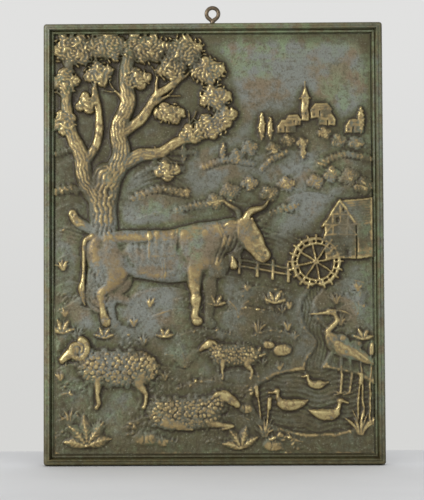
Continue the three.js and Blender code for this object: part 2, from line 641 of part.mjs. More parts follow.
function layScene() {
  bank(0.6, farHill, 4, 0.35);
  const village = [[56, 262, 7, 6, 5, 9, 1], [84, 274, 8, 7, 6, 10, 1], [98, 268, 7, 5, 5, 8, -1],
    [70, 268, 6, 5, 4, 7, -1], [112, 262, 7, 6, 5, 9, 1]];
  village.forEach(([x, z, across, height, roof, depth, facing]) => {
    house(x, z, across, height, roof, depth, 0.75, 1.3, 0.05, facing);
  });
  tower(76, 272, 6.5, 19, 10, 0.9, 1.5);
  [[40, 256, 6, 24], [47, 257, 5, 19], [122, 262, 6, 22]].forEach(([x, z, across, height]) => {
    poplar(x, z, across, height, 0.7, 1.5);
  });
  bank(0.95, middleHill, 4, 0.35);
  const farBushes = [[30, 250, 7], [62, 256, 5], [92, 262, 5], [104, 256, 6], [20, 244, 6], [118, 254, 6],
    [74, 254, 4.5], [50, 250, 5]];
  farBushes.forEach(([x, z, radius], i) => foliage(x, z, radius, radius * 0.85, 0.9, 1.3, i * 13 + 5, 1.9));
  bank(1.3, nearHill, 5, 0.45);
  const nearBushes = [[14, 214, 8], [30, 221, 6], [46, 212, 7], [60, 220, 6.5], [2, 206, 7], [112, 226, 8],
    [124, 218, 8], [84, 222, 6], [98, 228, 6]];
  nearBushes.forEach(([x, z, radius], i) => foliage(x, z, radius, radius * 0.85, 1.2, 1.6, i * 17 + 3, 2.2));
  house(104, 158, 26, 28, 20, 30, 1.6, 2.3, 0.1);
  bank(1.8, meadow, 7, 0.6);
  millWheel(84, 156, 19, 2.2, 2);
  bank(2.3, foreground, 7, 0.7);
  oak();
  cutWater(1.15, 0.7);
  ox([-44, 104], 84, 1, 4, 1.9);
  sheep([-80, 36], 50, -1, 3, 2.2, { horned: true });
  sheep([-22, 2], 46, 1, 2.8, 2.4, { lying: true });
  sheep([16, 60], 30, -1, 2.2, 2.1);
  duck([62, 34], 22, -1, 1.6, 2.6);
  duck([92, 26], 22, 1, 1.7, 2.6);
  duck([84, 52], 15, -1, 1.5, 2);
  heron([104, 48], 70, -1, 1.6, 2.6);
  const reeds = [[122, 30, 54, -3], [117, 22, 42, 4], [127, 26, 62, 2], [38, 20, 34, -6], [43, 16, 28, 5]];
  reeds.forEach((each) => reed(...each));
  dock(-104, 6, [[-75, 20, 9], [-38, 24, 11], [-5, 26, 11], [32, 24, 11], [68, 21, 9]], 2);
  dock(22, 4, [[-70, 16, 7], [-30, 19, 8], [12, 19, 8], [52, 17, 7]], 1.8);
  const stones = [[-56, 12, 11, 6], [-42, 9, 6, 4], [48, 6, 9, 5], [26, 36, 6, 4], [-112, 84, 7, 4],
    [56, 84, 8, 5], [45, 88, 5, 3.5], [103, 92, 8, 5], [116, 88, 6, 4]];
  stones.forEach(([x, z, halfWide, halfTall], i) => stone(x, z, halfWide, halfTall, 1.9, i * 5));
}

// ---------------------------------------------------------------- the relief as a closed block

// Eases every step in the field over about 2 mm, so that few triangles can follow it
function easeSteps() {
  for (const stride of [1, columns, 1, columns]) {
    const before = relief.slice();
    for (let row = 1; row < rows - 1; row++) {
      for (let column = 1; column < columns - 1; column++) {
        const index = row * columns + column;
        relief[index] = (before[index - stride] + 2 * before[index] + before[index + stride]) / 4;
      }
    }
  }
}

// The sample that one triangle misses by most, and by how much
function worstSample([a, b, c], at) {
  const [[ax, az], [bx, bz], [cx, cz]] = [at[a], at[b], at[c]];
  const [ah, bh, ch] = [[ax, az], [bx, bz], [cx, cz]].map(([x, z]) => relief[z * columns + x]);
  const area = (bx - ax) * (cz - az) - (cx - ax) * (bz - az);
  const worst = { miss: 0, x: 0, z: 0 };
  for (let z = Math.min(az, bz, cz); z <= Math.max(az, bz, cz); z++) {
    for (let x = Math.min(ax, bx, cx); x <= Math.max(ax, bx, cx); x++) {
      const shareB = ((x - ax) * (cz - az) - (cx - ax) * (z - az)) / area;
      const shareC = ((bx - ax) * (z - az) - (x - ax) * (bz - az)) / area;
      const shareA = 1 - shareB - shareC;
      if (shareA < 0 || shareB < 0 || shareC < 0) continue;
      const miss = Math.abs(relief[z * columns + x] - (shareA * ah + shareB * bh + shareC * ch));
      if (miss > worst.miss) Object.assign(worst, { miss, x, z });
    }
  }
  return worst;
}

function insideCircle([ax, az], [bx, bz], [cx, cz], [px, pz]) {
  const [adx, adz, bdx, bdz, cdx, cdz] = [ax - px, az - pz, bx - px, bz - pz, cx - px, cz - pz];
  const [a, b, c] = [adx * adx + adz * adz, bdx * bdx + bdz * bdz, cdx * cdx + cdz * cdz];
  return adx * (bdz * c - b * cdz) - adz * (bdx * c - b * cdx) + a * (bdx * cdz - bdz * cdx) > 0;
}

// Lays a Delaunay net over the height field: each new point goes where the net misses it most
function netOfRelief(limit) {
  const at = [[0, 0], [columns - 1, 0], [columns - 1, rows - 1], [0, rows - 1]];
  const faces = new Map();
  const owner = new Map();
  let made = 0;
  const edge = (a, b) => a * 16384 + b;
  const add = (a, b, c) => {
    const corners = [a, b, c];
    faces.set(made, { corners, worst: worstSample(corners, at) });
    corners.forEach((corner, i) => owner.set(edge(corner, corners[(i + 1) % 3]), made));
    made += 1;
  };
  add(0, 1, 2);
  add(0, 2, 3);
  while (at.length < limit) {
    let first = -1;
    let most = 0;
    faces.forEach(({ worst }, id) => {
      if (worst.miss > most) [first, most] = [id, worst.miss];
    });
    if (first < 0) break;
    const { x, z } = faces.get(first).worst;
    const cavity = new Set([first]);
    const rimEdges = [];
    for (const id of cavity) {
      const { corners } = faces.get(id);
      corners.forEach((corner, i) => {
        const next = corners[(i + 1) % 3];
        const beyond = owner.get(edge(next, corner));
        if (cavity.has(beyond)) return;
        const over = beyond !== undefined ? faces.get(beyond).corners.map((k) => at[k]) : null;
        if (over && insideCircle(...over, [x, z])) cavity.add(beyond);
      });
    }
    cavity.forEach((id) => {
      const { corners } = faces.get(id);
      corners.forEach((corner, i) => {
        const next = corners[(i + 1) % 3];
        if (!cavity.has(owner.get(edge(next, corner)))) rimEdges.push([corner, next]);
      });
    });
    cavity.forEach((id) => {
      const { corners } = faces.get(id);
      corners.forEach((corner, i) => owner.delete(edge(corner, corners[(i + 1) % 3])));
      faces.delete(id);
    });
    const point = at.push([x, z]) - 1;
    rimEdges.forEach(([a, b]) => {
      const [[ax, az], [bx, bz]] = [at[a], at[b]];
      if ((bx - ax) * (z - az) - (x - ax) * (bz - az) > 0) add(a, b, point);
    });
  }
  return { at, faces: [...faces.values()].map(({ corners }) => corners) };
}

// Closes the net with upright sides and a flat underside at 'under' above the back plane
function reliefBlock(under) {
  const { at, faces } = netOfRelief(reliefPoints);
  const place = ([x, z], height) => [x - fieldWide / 2, -height, fieldFoot + z];
  const points = at.map(([x, z]) => place([x, z], ground + relief[z * columns + x]));
  const triangles = faces.map(([a, b, c]) => [a, b, c]);
  const edges = new Set(faces.flatMap(([a, b, c]) => [`${a},${b}`, `${b},${c}`, `${c},${a}`]));
  const below = new Map();
  const foot = (k) => {
    if (!below.has(k)) below.set(k, points.push(place(at[k], under)) - 1);
    return below.get(k);
  };
  const middle = points.push(place([fieldWide / 2, fieldTall / 2], under)) - 1;
  edges.forEach((name) => {
    const [a, b] = name.split(',').map(Number);
    if (edges.has(`${b},${a}`)) return;
    triangles.push([b, a, foot(a)], [b, foot(a), foot(b)], [foot(b), foot(a), middle]);
  });
  return { points, triangles };
}

// ---------------------------------------------------------------- the plate with its frame

// A rounded rectangle 'inset' from the outer edge, going round anticlockwise as seen from the front
function outline(inset, height) {
  const radius = Math.max(outerCorner - inset, 0.4);
  const [halfWide, halfTall] = [wide / 2 - inset - radius, tall / 2 - inset - radius];
  const middle = topEdge - tall / 2;
  const loop = [];
  [[1, 1], [-1, 1], [-1, -1], [1, -1]].forEach(([sideX, sideZ], quarter) => {
    for (let i = 0; i <= 4; i++) {
      const turn = ((quarter + i / 4) * Math.PI) / 2;
      const x = sideX * halfWide + radius * Math.cos(turn);
      const z = middle + sideZ * halfTall + radius * Math.sin(turn);
      loop.push([x, -height, z]);
    }
  });
  return loop;
}

// Joins loops of equal length into a skin and closes the first and the last with flat faces
function skin(loops) {
  const count = loops[0].length;
  const triangles = [];
  for (let ring = 0; ring + 1 < loops.length; ring++) {
    for (let i = 0; i < count; i++) {
      const [a, b] = [ring * count + i, ring * count + ((i + 1) % count)];
      triangles.push([a, b, b + count], [a, b + count, a + count]);
    }
  }
  const last = (loops.length - 1) * count;
  for (let i = 1; i + 1 < count; i++) {
    triangles.push([0, i + 1, i], [last, last + i, last + i + 1]);
  }
  return { points: loops.flat(), triangles };
}

function plate() {
  const back = [[rim + 1, recess], [rim, 0]];
  return skin([...back, ...moulding].map(([inset, height]) => outline(inset, height)));
}

// ---------------------------------------------------------------- solids

function toSolid({ points, triangles }) {
  const mesh = new wasm.Mesh({
    numProp: 3,
    vertProperties: new Float32Array(points.flat()),
    triVerts: new Uint32Array(triangles.flat()),
  });
  mesh.merge();
  return new wasm.Manifold(mesh);
}

function geometryToSolid(geometry) {
  geometry.deleteAttribute('normal');
  geometry.deleteAttribute('uv');
  const welded = mergeVertices(geometry, 1e-4);
  const mesh = new wasm.Mesh({
    numProp: 3,
    vertProperties: new Float32Array(welded.attributes.position.array),
    triVerts: new Uint32Array(welded.index.array),
  });
  return new wasm.Manifold(mesh);
}

function toGeometry(solid) {
  const mesh = solid.getMesh();
  const geometry = new THREE.BufferGeometry();
  geometry.setAttribute('position', new THREE.BufferAttribute(mesh.vertProperties, 3));
  geometry.setIndex(new THREE.BufferAttribute(mesh.triVerts, 1));
  return mergeVertices(geometry, 1e-4);
}

// A round rod standing on z = low at the eye's place
function rod(radius, low, high) {
  const geometry = new THREE.CylinderGeometry(radius, radius, high - low, 20);
  geometry.rotateX(Math.PI / 2).translate(0, -eye.back, (low + high) / 2);
  return geometryToSolid(geometry);
}

function makePlaque() {
  layScene();
  easeSteps();
  const holeFoot = topEdge - eye.shank - eye.gap;
  return toSolid(plate())
    .add(toSolid(reliefBlock(4)))
    .subtract(rod(eye.wire / 2 + eye.gap, holeFoot, topEdge + 1));
}

function makeEye() {
  const ring = new THREE.TorusGeometry((eye.across - eye.wire) / 2, eye.wire / 2, 12, 32);
  ring.rotateX(Math.PI / 2).translate(0, -eye.back, eye.centre);
  const neck = new THREE.CylinderGeometry(eye.wire / 2, eye.wire / 2 + 0.5, 2.4, 20);
  neck.rotateX(Math.PI / 2).translate(0, -eye.back, topEdge + 1.5);
  return geometryToSolid(ring)
    .add(geometryToSolid(neck))
    .add(rod(eye.wire / 2, topEdge - eye.shank, topEdge + 2));
}

// ---------------------------------------------------------------- the object

function brass(colour, roughness) {
  return new THREE.MeshStandardMaterial({ color: colour, roughness, metalness: 0.8 });
}

const group = new THREE.Group();
const pieces = [
  ['plaque', makePlaque(), brass(0x6b6752, 0.55)],
  ['hanging_eye', makeEye(), brass(0x716658, 0.45)],
];
pieces.forEach(([name, solid, material]) => {
  const mesh = new THREE.Mesh(toGeometry(solid), material);
  mesh.name = name;
  group.add(mesh);
});

export default group;
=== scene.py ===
import math

import bmesh
import bpy
import numpy as np
from mathutils import Matrix, Vector


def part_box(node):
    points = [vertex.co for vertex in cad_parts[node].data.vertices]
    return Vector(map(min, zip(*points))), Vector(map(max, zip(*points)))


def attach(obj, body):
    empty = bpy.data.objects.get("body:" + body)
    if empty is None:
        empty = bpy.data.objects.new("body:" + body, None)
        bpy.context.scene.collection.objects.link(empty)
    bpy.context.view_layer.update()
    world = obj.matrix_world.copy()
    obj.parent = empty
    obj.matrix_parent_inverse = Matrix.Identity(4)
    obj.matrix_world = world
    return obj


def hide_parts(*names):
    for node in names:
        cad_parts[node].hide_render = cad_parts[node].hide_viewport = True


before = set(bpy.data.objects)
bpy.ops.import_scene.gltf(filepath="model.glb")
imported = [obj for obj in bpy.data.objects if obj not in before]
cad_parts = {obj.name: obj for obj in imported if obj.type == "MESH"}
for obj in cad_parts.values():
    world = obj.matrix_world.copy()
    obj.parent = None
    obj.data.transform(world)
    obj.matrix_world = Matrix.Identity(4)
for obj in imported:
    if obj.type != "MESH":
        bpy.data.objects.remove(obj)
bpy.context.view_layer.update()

# ---------------------------------------------------------------------------------------------
# THE PATTERN. The plaque is sand cast from one modelled pattern: a country scene in low relief
# on a flat field. It is kept here as heights above the field, in millimetres, on a half
# millimetre grid. Each figure is modelled on its own and then laid over what lies behind it.

PLATE_LOW, PLATE_HIGH = [1000 * Vector(corner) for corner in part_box("plaque")]
WIDE = PLATE_HIGH.x - PLATE_LOW.x
TALL = PLATE_HIGH.z - PLATE_LOW.z
BORDER = 10.0                 # frame moulding, from the outer edge to the field
GRID = 0.5
FIELD_WIDE = WIDE - 2 * BORDER
FIELD_TALL = TALL - 2 * BORDER
EMPTY = -99.0

field_x = np.linspace(-FIELD_WIDE / 2, FIELD_WIDE / 2, round(FIELD_WIDE / GRID) + 1)
field_z = np.linspace(0, FIELD_TALL, round(FIELD_TALL / GRID) + 1)
X, Z = np.meshgrid(field_x, field_z)
relief = np.zeros_like(X)


def chance(n):
    """The same number from 0 to 1 for the same whole number."""
    value = math.sin(n * 12.9898 + 4.1) * 43758.5453
    return value - math.floor(value)


def window(left, right, low, high):
    """The grid rows and columns that a shape covers."""
    first, last = (left + FIELD_WIDE / 2) / GRID, (right + FIELD_WIDE / 2) / GRID
    columns = slice(max(0, math.floor(first)), max(0, min(len(field_x), math.ceil(last) + 1)))
    rows = slice(max(0, math.floor(low / GRID)), max(0, min(len(field_z), math.ceil(high / GRID) + 1)))
    return rows, columns


def curve_through(points, steps=5):
    """A Catmull-Rom curve through points of any length."""
    points = np.array(points, float)
    if len(points) < 3:
        return points
    ends = [2 * points[0] - points[1], 2 * points[-1] - points[-2]]
    p = np.vstack([ends[0], points, ends[1]])
    curve = []
    for a, b, c, d in zip(p, p[1:], p[2:], p[3:]):
        for t in np.arange(steps) / steps:
            square = (2 * a - 5 * b + 4 * c - d) * t * t
            cube = (3 * b - a - 3 * c + d) * t ** 3
            curve.append(0.5 * (2 * b + (c - a) * t + square + cube))
    curve.append(points[-1])
    return np.array(curve)


def swell(across, power=2.0):
    """A rounded section: 1 in the middle, 0 at the edge, flatter on top for a higher power."""
    return np.maximum(1 - across ** power, 0) ** (1 / power)


class Figure:
    """A figure built up from limbs and lumps, then laid on the field."""

    def __init__(self, base, blend=1.2):
        self.base = base
        self.blend = blend
        self.top = np.full_like(relief, EMPTY)
        self.reach = []

    def raise_to(self, area, height):
        reach = np.maximum(self.blend - np.abs(self.top[area] - height), 0)
        self.top[area] = np.maximum(self.top[area], height) + reach * reach / (4 * self.blend)
        self.reach.append(area)

    def chain(self, points, power=2.0, steps=5, skin=None):
        """A limb through [x, z, radius, height]; skin(along, across, radius) adds its surface."""
        points = curve_through(points, steps)
        most = points[:, 2].max()
        low, high = points[:, :2].min(0) - most, points[:, :2].max(0) + most
        area = window(low[0], high[0], low[1], high[1])
        x, z = X[area], Z[area]
        if x.size == 0:
            return self
        height = np.full_like(x, EMPTY)
        along, across, radius = (np.zeros_like(x) for _ in range(3))
        travelled = 0.0
        for (x0, z0, r0, h0), (x1, z1, r1, h1) in zip(points, points[1:]):
            most = max(r0, r1)
            part = window(min(x0, x1) - most, max(x0, x1) + most, min(z0, z1) - most, max(z0, z1) + most)
            part = tuple(slice(p.start - a.start, p.stop - a.start) for p, a in zip(part, area))
            dx, dz = x1 - x0, z1 - z0
            length = math.hypot(dx, dz)
            px, pz = x[part] - x0, z[part] - z0
            t = np.clip((px * dx + pz * dz) / max(length, 1e-6) ** 2, 0, 1)
            r = np.maximum(r0 + (r1 - r0) * t, 1e-6)
            off = np.hypot(px - dx * t, pz - dz * t) / r
            here = self.base + (h0 + (h1 - h0) * t) * swell(np.minimum(off, 1), power)
            better = (off < 1) & (here > height[part])
            height[part] = np.where(better, here, height[part])
            if skin:
                side = np.sign(dx * pz - dz * px)
                along[part] = np.where(better, travelled + t * length, along[part])
                across[part] = np.where(better, side * off, across[part])
                radius[part] = np.where(better, r, radius[part])
            travelled += length
        if skin:
            solid = height > EMPTY
            height = np.where(solid, height + skin(along, across, radius) * swell(np.abs(across), 4), EMPTY)
        self.raise_to(area, height)
        return self

    def oval(self, x, z, half_wide, half_tall, height, turn=0.0, power=2.0):
        reach = max(half_wide, half_tall)
        area = window(x - reach, x + reach, z - reach, z + reach)
        cos, sin = math.cos(turn), math.sin(turn)
        px, pz = X[area] - x, Z[area] - z
        off = np.hypot((px * cos + pz * sin) / half_wide, (pz * cos - px * sin) / half_tall)
        self.raise_to(area, np.where(off < 1, self.base + height * swell(np.minimum(off, 1), power), EMPTY))
        return self

    def ring(self, x, z, radius, wire, height):
        reach = radius + wire
        area = window(x - reach, x + reach, z - reach, z + reach)
        off = np.abs(np.hypot(X[area] - x, Z[area] - z) - radius) / wire
        self.raise_to(area, np.where(off < 1, self.base + height * swell(np.minimum(off, 1)), EMPTY))
        return self

    def panel(self, corners, ease=0.6):
        """A flat face with eased edges, corners [x, z, height] anticlockwise; three give its plane."""
        corners = np.array(corners, float)
        low, high = corners[:, :2].min(0), corners[:, :2].max(0)
        area = window(low[0], high[0], low[1], high[1])
        x, z = X[area], Z[area]
        slope = np.linalg.solve(np.c_[corners[:3, :2], np.ones(3)], corners[:3, 2])
        inside = np.full_like(x, 1e9)
        for (px, pz, _), (qx, qz, _) in zip(corners, np.roll(corners, -1, axis=0)):
            side = (qx - px) * (z - pz) - (qz - pz) * (x - px)
            inside = np.minimum(inside, side / math.hypot(qx - px, qz - pz))
        eased = ease * 0.6 * np.maximum(1 - inside / ease, 0) ** 2
        plane = slope[0] * x + slope[1] * z + slope[2]
        self.raise_to(area, np.where(inside > 0, self.base + plane - eased, EMPTY))
        return self

    def lay(self):
        for area in self.reach:
            relief[area] = np.maximum(relief[area], self.top[area])


def press(x, z, half_wide, half_tall, amount, turn=0.0, above=EMPTY):
    """Swells or sinks the relief softly at one spot, only where it stands higher than 'above'."""
    reach = 2.2 * max(half_wide, half_tall)
    area = window(x - reach, x + reach, z - reach, z + reach)
    cos, sin = math.cos(turn), math.sin(turn)
    px, pz = X[area] - x, Z[area] - z
    off = ((px * cos + pz * sin) / half_wide) ** 2 + ((pz * cos - px * sin) / half_tall) ** 2
    relief[area] += amount * np.exp(-off * 1.2) * np.clip((relief[area] - above) * 2, 0, 1)


def bulge(points, above=EMPTY):
    """Swells the relief along a curve of [x, z, radius, amount], with a crease round the swelling."""
    points = curve_through(points, 5)
    most = points[:, 2].max()
    low, high = points[:, :2].min(0) - most, points[:, :2].max(0) + most
    area = window(low[0], high[0], low[1], high[1])
    x, z = X[area], Z[area]
    added = np.zeros_like(x)
    for (x0, z0, r0, a0), (x1, z1, r1, a1) in zip(points, points[1:]):
        dx, dz = x1 - x0, z1 - z0
        t = np.clip(((x - x0) * dx + (z - z0) * dz) / max(dx * dx + dz * dz, 1e-9), 0, 1)
        off = np.hypot(x - x0 - dx * t, z - z0 - dz * t) / (r0 + (r1 - r0) * t)
        added = np.maximum(added, (a0 + (a1 - a0) * t) * np.maximum(1 - off * off, 0) ** 0.85)
    relief[area] += added * np.clip((relief[area] - above) * 1.5, 0, 1)


def score(points, width, depth, above=EMPTY, steps=4):
    """Cuts one tooled line along a curve of [x, z]; a negative depth raises it instead."""
    points = curve_through(points, steps)
    low, high = points.min(0) - width, points.max(0) + width
    area = window(low[0], high[0], low[1], high[1])
    x, z = X[area], Z[area]
    nearest = np.full_like(x, 1e9)
    for (x0, z0), (x1, z1) in zip(points, points[1:]):
        dx, dz = x1 - x0, z1 - z0
        t = np.clip(((x - x0) * dx + (z - z0) * dz) / max(dx * dx + dz * dz, 1e-9), 0, 1)
        nearest = np.minimum(nearest, np.hypot(x - x0 - dx * t, z - z0 - dz * t))
    relief[area] -= depth * np.exp(-(nearest / width) ** 2 * 2) * np.clip((relief[area] - above) * 2, 0, 1)


def mottle(spacing, seed, shape=relief.shape, step=GRID):
    """Smooth noise from -1 to 1 whose lumps are 'spacing' mm apart."""
    rows, columns = (np.arange(n) * step / spacing for n in shape)
    size = (int(rows[-1]) + 3, int(columns[-1]) + 3)
    coarse = np.random.default_rng(seed).uniform(-1, 1, size)

    def blend(values, places):
        whole = places.astype(int)
        t = places - whole
        t = (t * t * (3 - 2 * t))[:, None]
        return values[whole] * (1 - t) + values[whole + 1] * t

    return blend(blend(coarse, rows).T, columns).T


def sample(values, x, z, left, low, step):
    """Reads a grid of values at any places, between its points."""
    column = np.clip((x - left) / step, 0, values.shape[1] - 1.001)
    row = np.clip((z - low) / step, 0, values.shape[0] - 1.001)
    i, j = row.astype(int), column.astype(int)
    u, v = row - i, column - j
    near = values[i, j] * (1 - v) + values[i, j + 1] * v
    far = values[i + 1, j] * (1 - v) + values[i + 1, j + 1] * v
    return near * (1 - u) + far * u


# ---------------------------------------------------------------------------------------------
# Land and water of the pattern. Five folds of ground rise behind each other, each with a tooled
# skyline; short grass is stippled over them, and the stream and pond are cut down to one level.


def wave(high, length, shift, x):
    return high * np.sin(2 * np.pi * (x - shift) / length)


def far_hill(x):
    return 258 + 10 * np.exp(-((x - 80) / 44) ** 2) + wave(1.6, 43, -2, x)


def middle_hill(x):
    return 240 + wave(5, 120, -10, x) + wave(1.5, 37, -12, x)


def near_hill(x):
    return 209 + wave(5, 170, 70, x) + wave(1.2, 31, 0, x)


def meadow(x):
    return 136 + wave(4, 140, -9, x) + wave(1.4, 29, -5, x) + 14 / (1 + np.exp((78 - x) / 6))


def foreground(x):
    return 70 + wave(6, 210, 30, x) + wave(1.6, 41, -4, x)


def bank(level, skyline, soft, drop):
    below = skyline(X) - Z
    rise = level - drop * np.exp(-np.maximum(below, 0) / soft)
    relief[:] = np.where(below > 0, np.maximum(relief, rise), relief)


def grass(count, low, high, skyline, seed, length=3.2, thick=0.5, height=0.55):
    """Short strokes of grass scattered between two heights, under a skyline."""
    strokes = Figure(0, 0.1)
    for n in range(seed, seed + count):
        x = (chance(n) - 0.5) * FIELD_WIDE
        z = low + (high - low) * chance(n + 7000)
        if z > skyline(x) - 3:
            continue
        row, column = round(z / GRID), round((x + FIELD_WIDE / 2) / GRID)
        strokes.base = relief[row, column] - 0.1
        lean = (chance(n + 3000) - 0.5) * 1.3
        reach = length * (0.6 + 0.7 * chance(n + 5000))
        tip = [x + reach * math.sin(lean), z + reach * math.cos(lean), thick * 0.3, height * 0.6]
        strokes.chain([[x, z, thick, height], tip], 2, 1)
    strokes.lay()


def furrows(middle, first, pitch, count, spread, squash, above):
    """Ploughed land: lines that curve round one centre."""
    for n in range(count):
        radius = first + pitch * n
        line = []
        for turn in np.radians(np.linspace(90 - spread, 90 + spread, 9)):
            line.append([middle[0] + radius * math.cos(turn), middle[1] + squash * radius * math.sin(turn)])
        score(line, 0.9, 0.32, above)
        score([[x, z + pitch * 0.45] for x, z in line], 0.8, -0.3, above)


def fold(points, rise, run, rim=0.5, above=0.0):
    """A fold of ground: a rim along a curve drawn left to right, falling away below it."""
    line = curve_through(points, 6)
    low, high = line.min(0) - run * 2.5, line.max(0) + 3
    area = window(low[0], high[0], low[1], high[1])
    x, z = X[area], Z[area]
    nearest, side, share = np.full_like(x, 1e9), np.zeros_like(x), np.zeros_like(x)
    for n, ((x0, z0), (x1, z1)) in enumerate(zip(line, line[1:])):
        dx, dz = x1 - x0, z1 - z0
        t = np.clip(((x - x0) * dx + (z - z0) * dz) / (dx * dx + dz * dz), 0, 1)
        off = np.hypot(x - x0 - dx * t, z - z0 - dz * t)
        better = off < nearest
        nearest = np.where(better, off, nearest)
        side = np.where(better, (z - z0) * dx - (x - x0) * dz, side)
        share = np.where(better, (n + t) / (len(line) - 1), share)
    fade = np.clip(4 * share * (1 - share) * 1.6, 0, 1) * np.clip((relief[area] - above) * 2 + 1, 0, 1)
    below = np.where(side < 0, np.exp(-nearest / run), 0)
    relief[area] += fade * (rise * below + rim * np.exp(-(nearest / 0.9) ** 2))


def pebbles(x, z, spread, count, seed, size=1.1):
    """Small stones and clods scattered round a spot, each sitting on the ground under it."""
    ground = relief.copy()
    clods = Figure(0, 0.1)
    for n in range(count):
        out, turn = spread * math.sqrt(chance(seed + n)), 6.28 * chance(seed + n + 100)
        clod_x, clod_z = x + out * math.cos(turn), z + 0.55 * out * math.sin(turn)
        if abs(clod_x) > FIELD_WIDE / 2 or not 0 < clod_z < FIELD_TALL:
            continue
        half = size * (0.5 + 0.8 * chance(seed + n + 200))
        clods.base = ground[round(clod_z / GRID), round((clod_x + FIELD_WIDE / 2) / GRID)] - 0.1
        clods.oval(clod_x, clod_z, half * 1.3, half * 0.8, 0.35 + half * 0.4, chance(seed + n + 300))
    clods.lay()


POND = {"x": 84, "z": 42, "half_wide": 54, "half_tall": 27}
STREAM = [[85, 134], [77, 122], [78, 108], [88, 96], [89, 84], [82, 72], [80, 60]]


def cut_water(level, shore):
    area = window(10, FIELD_WIDE / 2, 0, 150)
    x, z = X[area], Z[area]
    out = np.hypot((x - POND["x"]) / POND["half_wide"], (z - POND["z"]) / POND["half_tall"])
    pond = POND["half_tall"] * (1 - out)
    depth = pond
    for sx, sz in curve_through(STREAM, 8):
        depth = np.maximum(depth, 4.2 + (134 - sz) * 0.05 - np.hypot(x - sx, z - sz))
    depth = depth + 0.8 * mottle(7, 31)[area]
    inside = np.clip(depth / 1.2, 0, 1)
    ripple = np.sin((z + 2.5 * np.sin(x * 0.09) + 1.2 * np.sin(x * 0.23 + 1)) * 1.55)
    flow = np.sin((x + 1.5 * np.sin(z * 0.2)) * 2.1)
    water = level + 0.24 * np.where(pond > 0, ripple, flow) * np.clip(depth / 3, 0, 1)
    relief[area] = relief[area] * (1 - inside) + water * inside + shore * np.exp(-((depth + 1) / 1.4) ** 2)


def lily_pad(x, z, size):
    """A floating leaf with a notch and its ribs."""
    leaf = Figure(1.2, 0.1)
    leaf.oval(x, z, size, size * 0.42, 0.62, 0, 4)
    leaf.lay()
    score([[x, z], [x + size, z + size * 0.16]], 0.7, 0.7, 1.2)
    for degrees in (40, 90, 140, 200, 250, 310):
        turn = math.radians(degrees)
        score([[x, z], [x + size * 0.8 * math.cos(turn), z + size * 0.34 * math.sin(turn)]], 0.4, 0.16, 1.3)


def stone(x, z, half_wide, half_tall, high, seed):
    rock = Figure(2, 0.5)
    rock.oval(x, z, half_wide, half_tall, high, 0.3 * (chance(seed) - 0.5), 2.6)
    knob_x, knob_z = x + half_wide * 0.25, z + half_tall * 0.22
    rock.oval(knob_x, knob_z, half_wide * 0.55, half_tall * 0.5, high * 1.18, 0.8 * chance(seed + 1), 2.2)
    rock.lay()
    for n in range(3):
        side = (chance(seed + n) - 0.5) * half_wide
        crack = [[x + side, z + half_tall * 0.8], [x + side * 0.6, z], [x + side * 1.2, z - half_tall * 0.6]]
        score(crack, 0.6, 0.35, 2.4)


# ---------------------------------------------------------------------------------------------
# Trees and plants of the pattern: a bare-limbed oak with masses of small leaves and deep bark,
# poplars, bushes, docks with ribbed leaves, tufts and bulrushes.


def bark(along, across, radius):
    """Flat-topped ridges that wander along the limb, broken here and there, with deep cracks between."""
    ridges = np.clip(np.round(radius * 0.75), 1, 6)
    wander = 0.8 * np.sin(along * 0.21) + 0.55 * np.sin(along * 0.53 + 2 + across * 2)
    wander += 0.25 * np.sin(along * 1.3)
    ridge = np.abs(np.sin(across * ridges * 1.55 + wander)) ** 0.7 - 0.6
    breaks = np.exp(-(np.sin(along * 0.45 + across * 5 + np.sin(across * 9) * 1.5) / 0.16) ** 2)
    return np.clip(radius * 0.1, 0.2, 0.85) * (ridge - 0.35 * breaks)


def branch(tree, x, z, turn, length, radius, height, depth, seed):
    """A branch of three bent lengths that forks until 'depth' runs out."""
    points = [[x, z, radius, height]]
    lean = turn
    for n in range(3):
        lean += (chance(seed + n) - 0.5) * 32
        x += length / 3 * math.sin(math.radians(lean))
        z += length / 3 * math.cos(math.radians(lean))
        points.append([x, z, radius * (1 - 0.18 * (n + 1)), height * (1 - 0.1 * (n + 1))])
    tree.chain(points, 2.2, 3, bark)
    if depth == 0:
        return
    end_radius, end_height = points[-1][2:]
    spread = 26 + 14 * chance(seed + 5)
    side = 1 if chance(seed + 6) > 0.5 else -1
    forks = [
        (lean + side * spread * 0.6, length * 0.82, end_radius * 0.82, end_height * 0.94, seed + 17),
        (lean - side * spread, length * 0.72, end_radius * 0.66, end_height * 0.86, seed + 31),
    ]
    for fork_lean, fork_length, fork_radius, fork_height, fork_seed in forks:
        branch(tree, x, z, fork_lean, fork_length, fork_radius, fork_height, depth - 1, fork_seed)


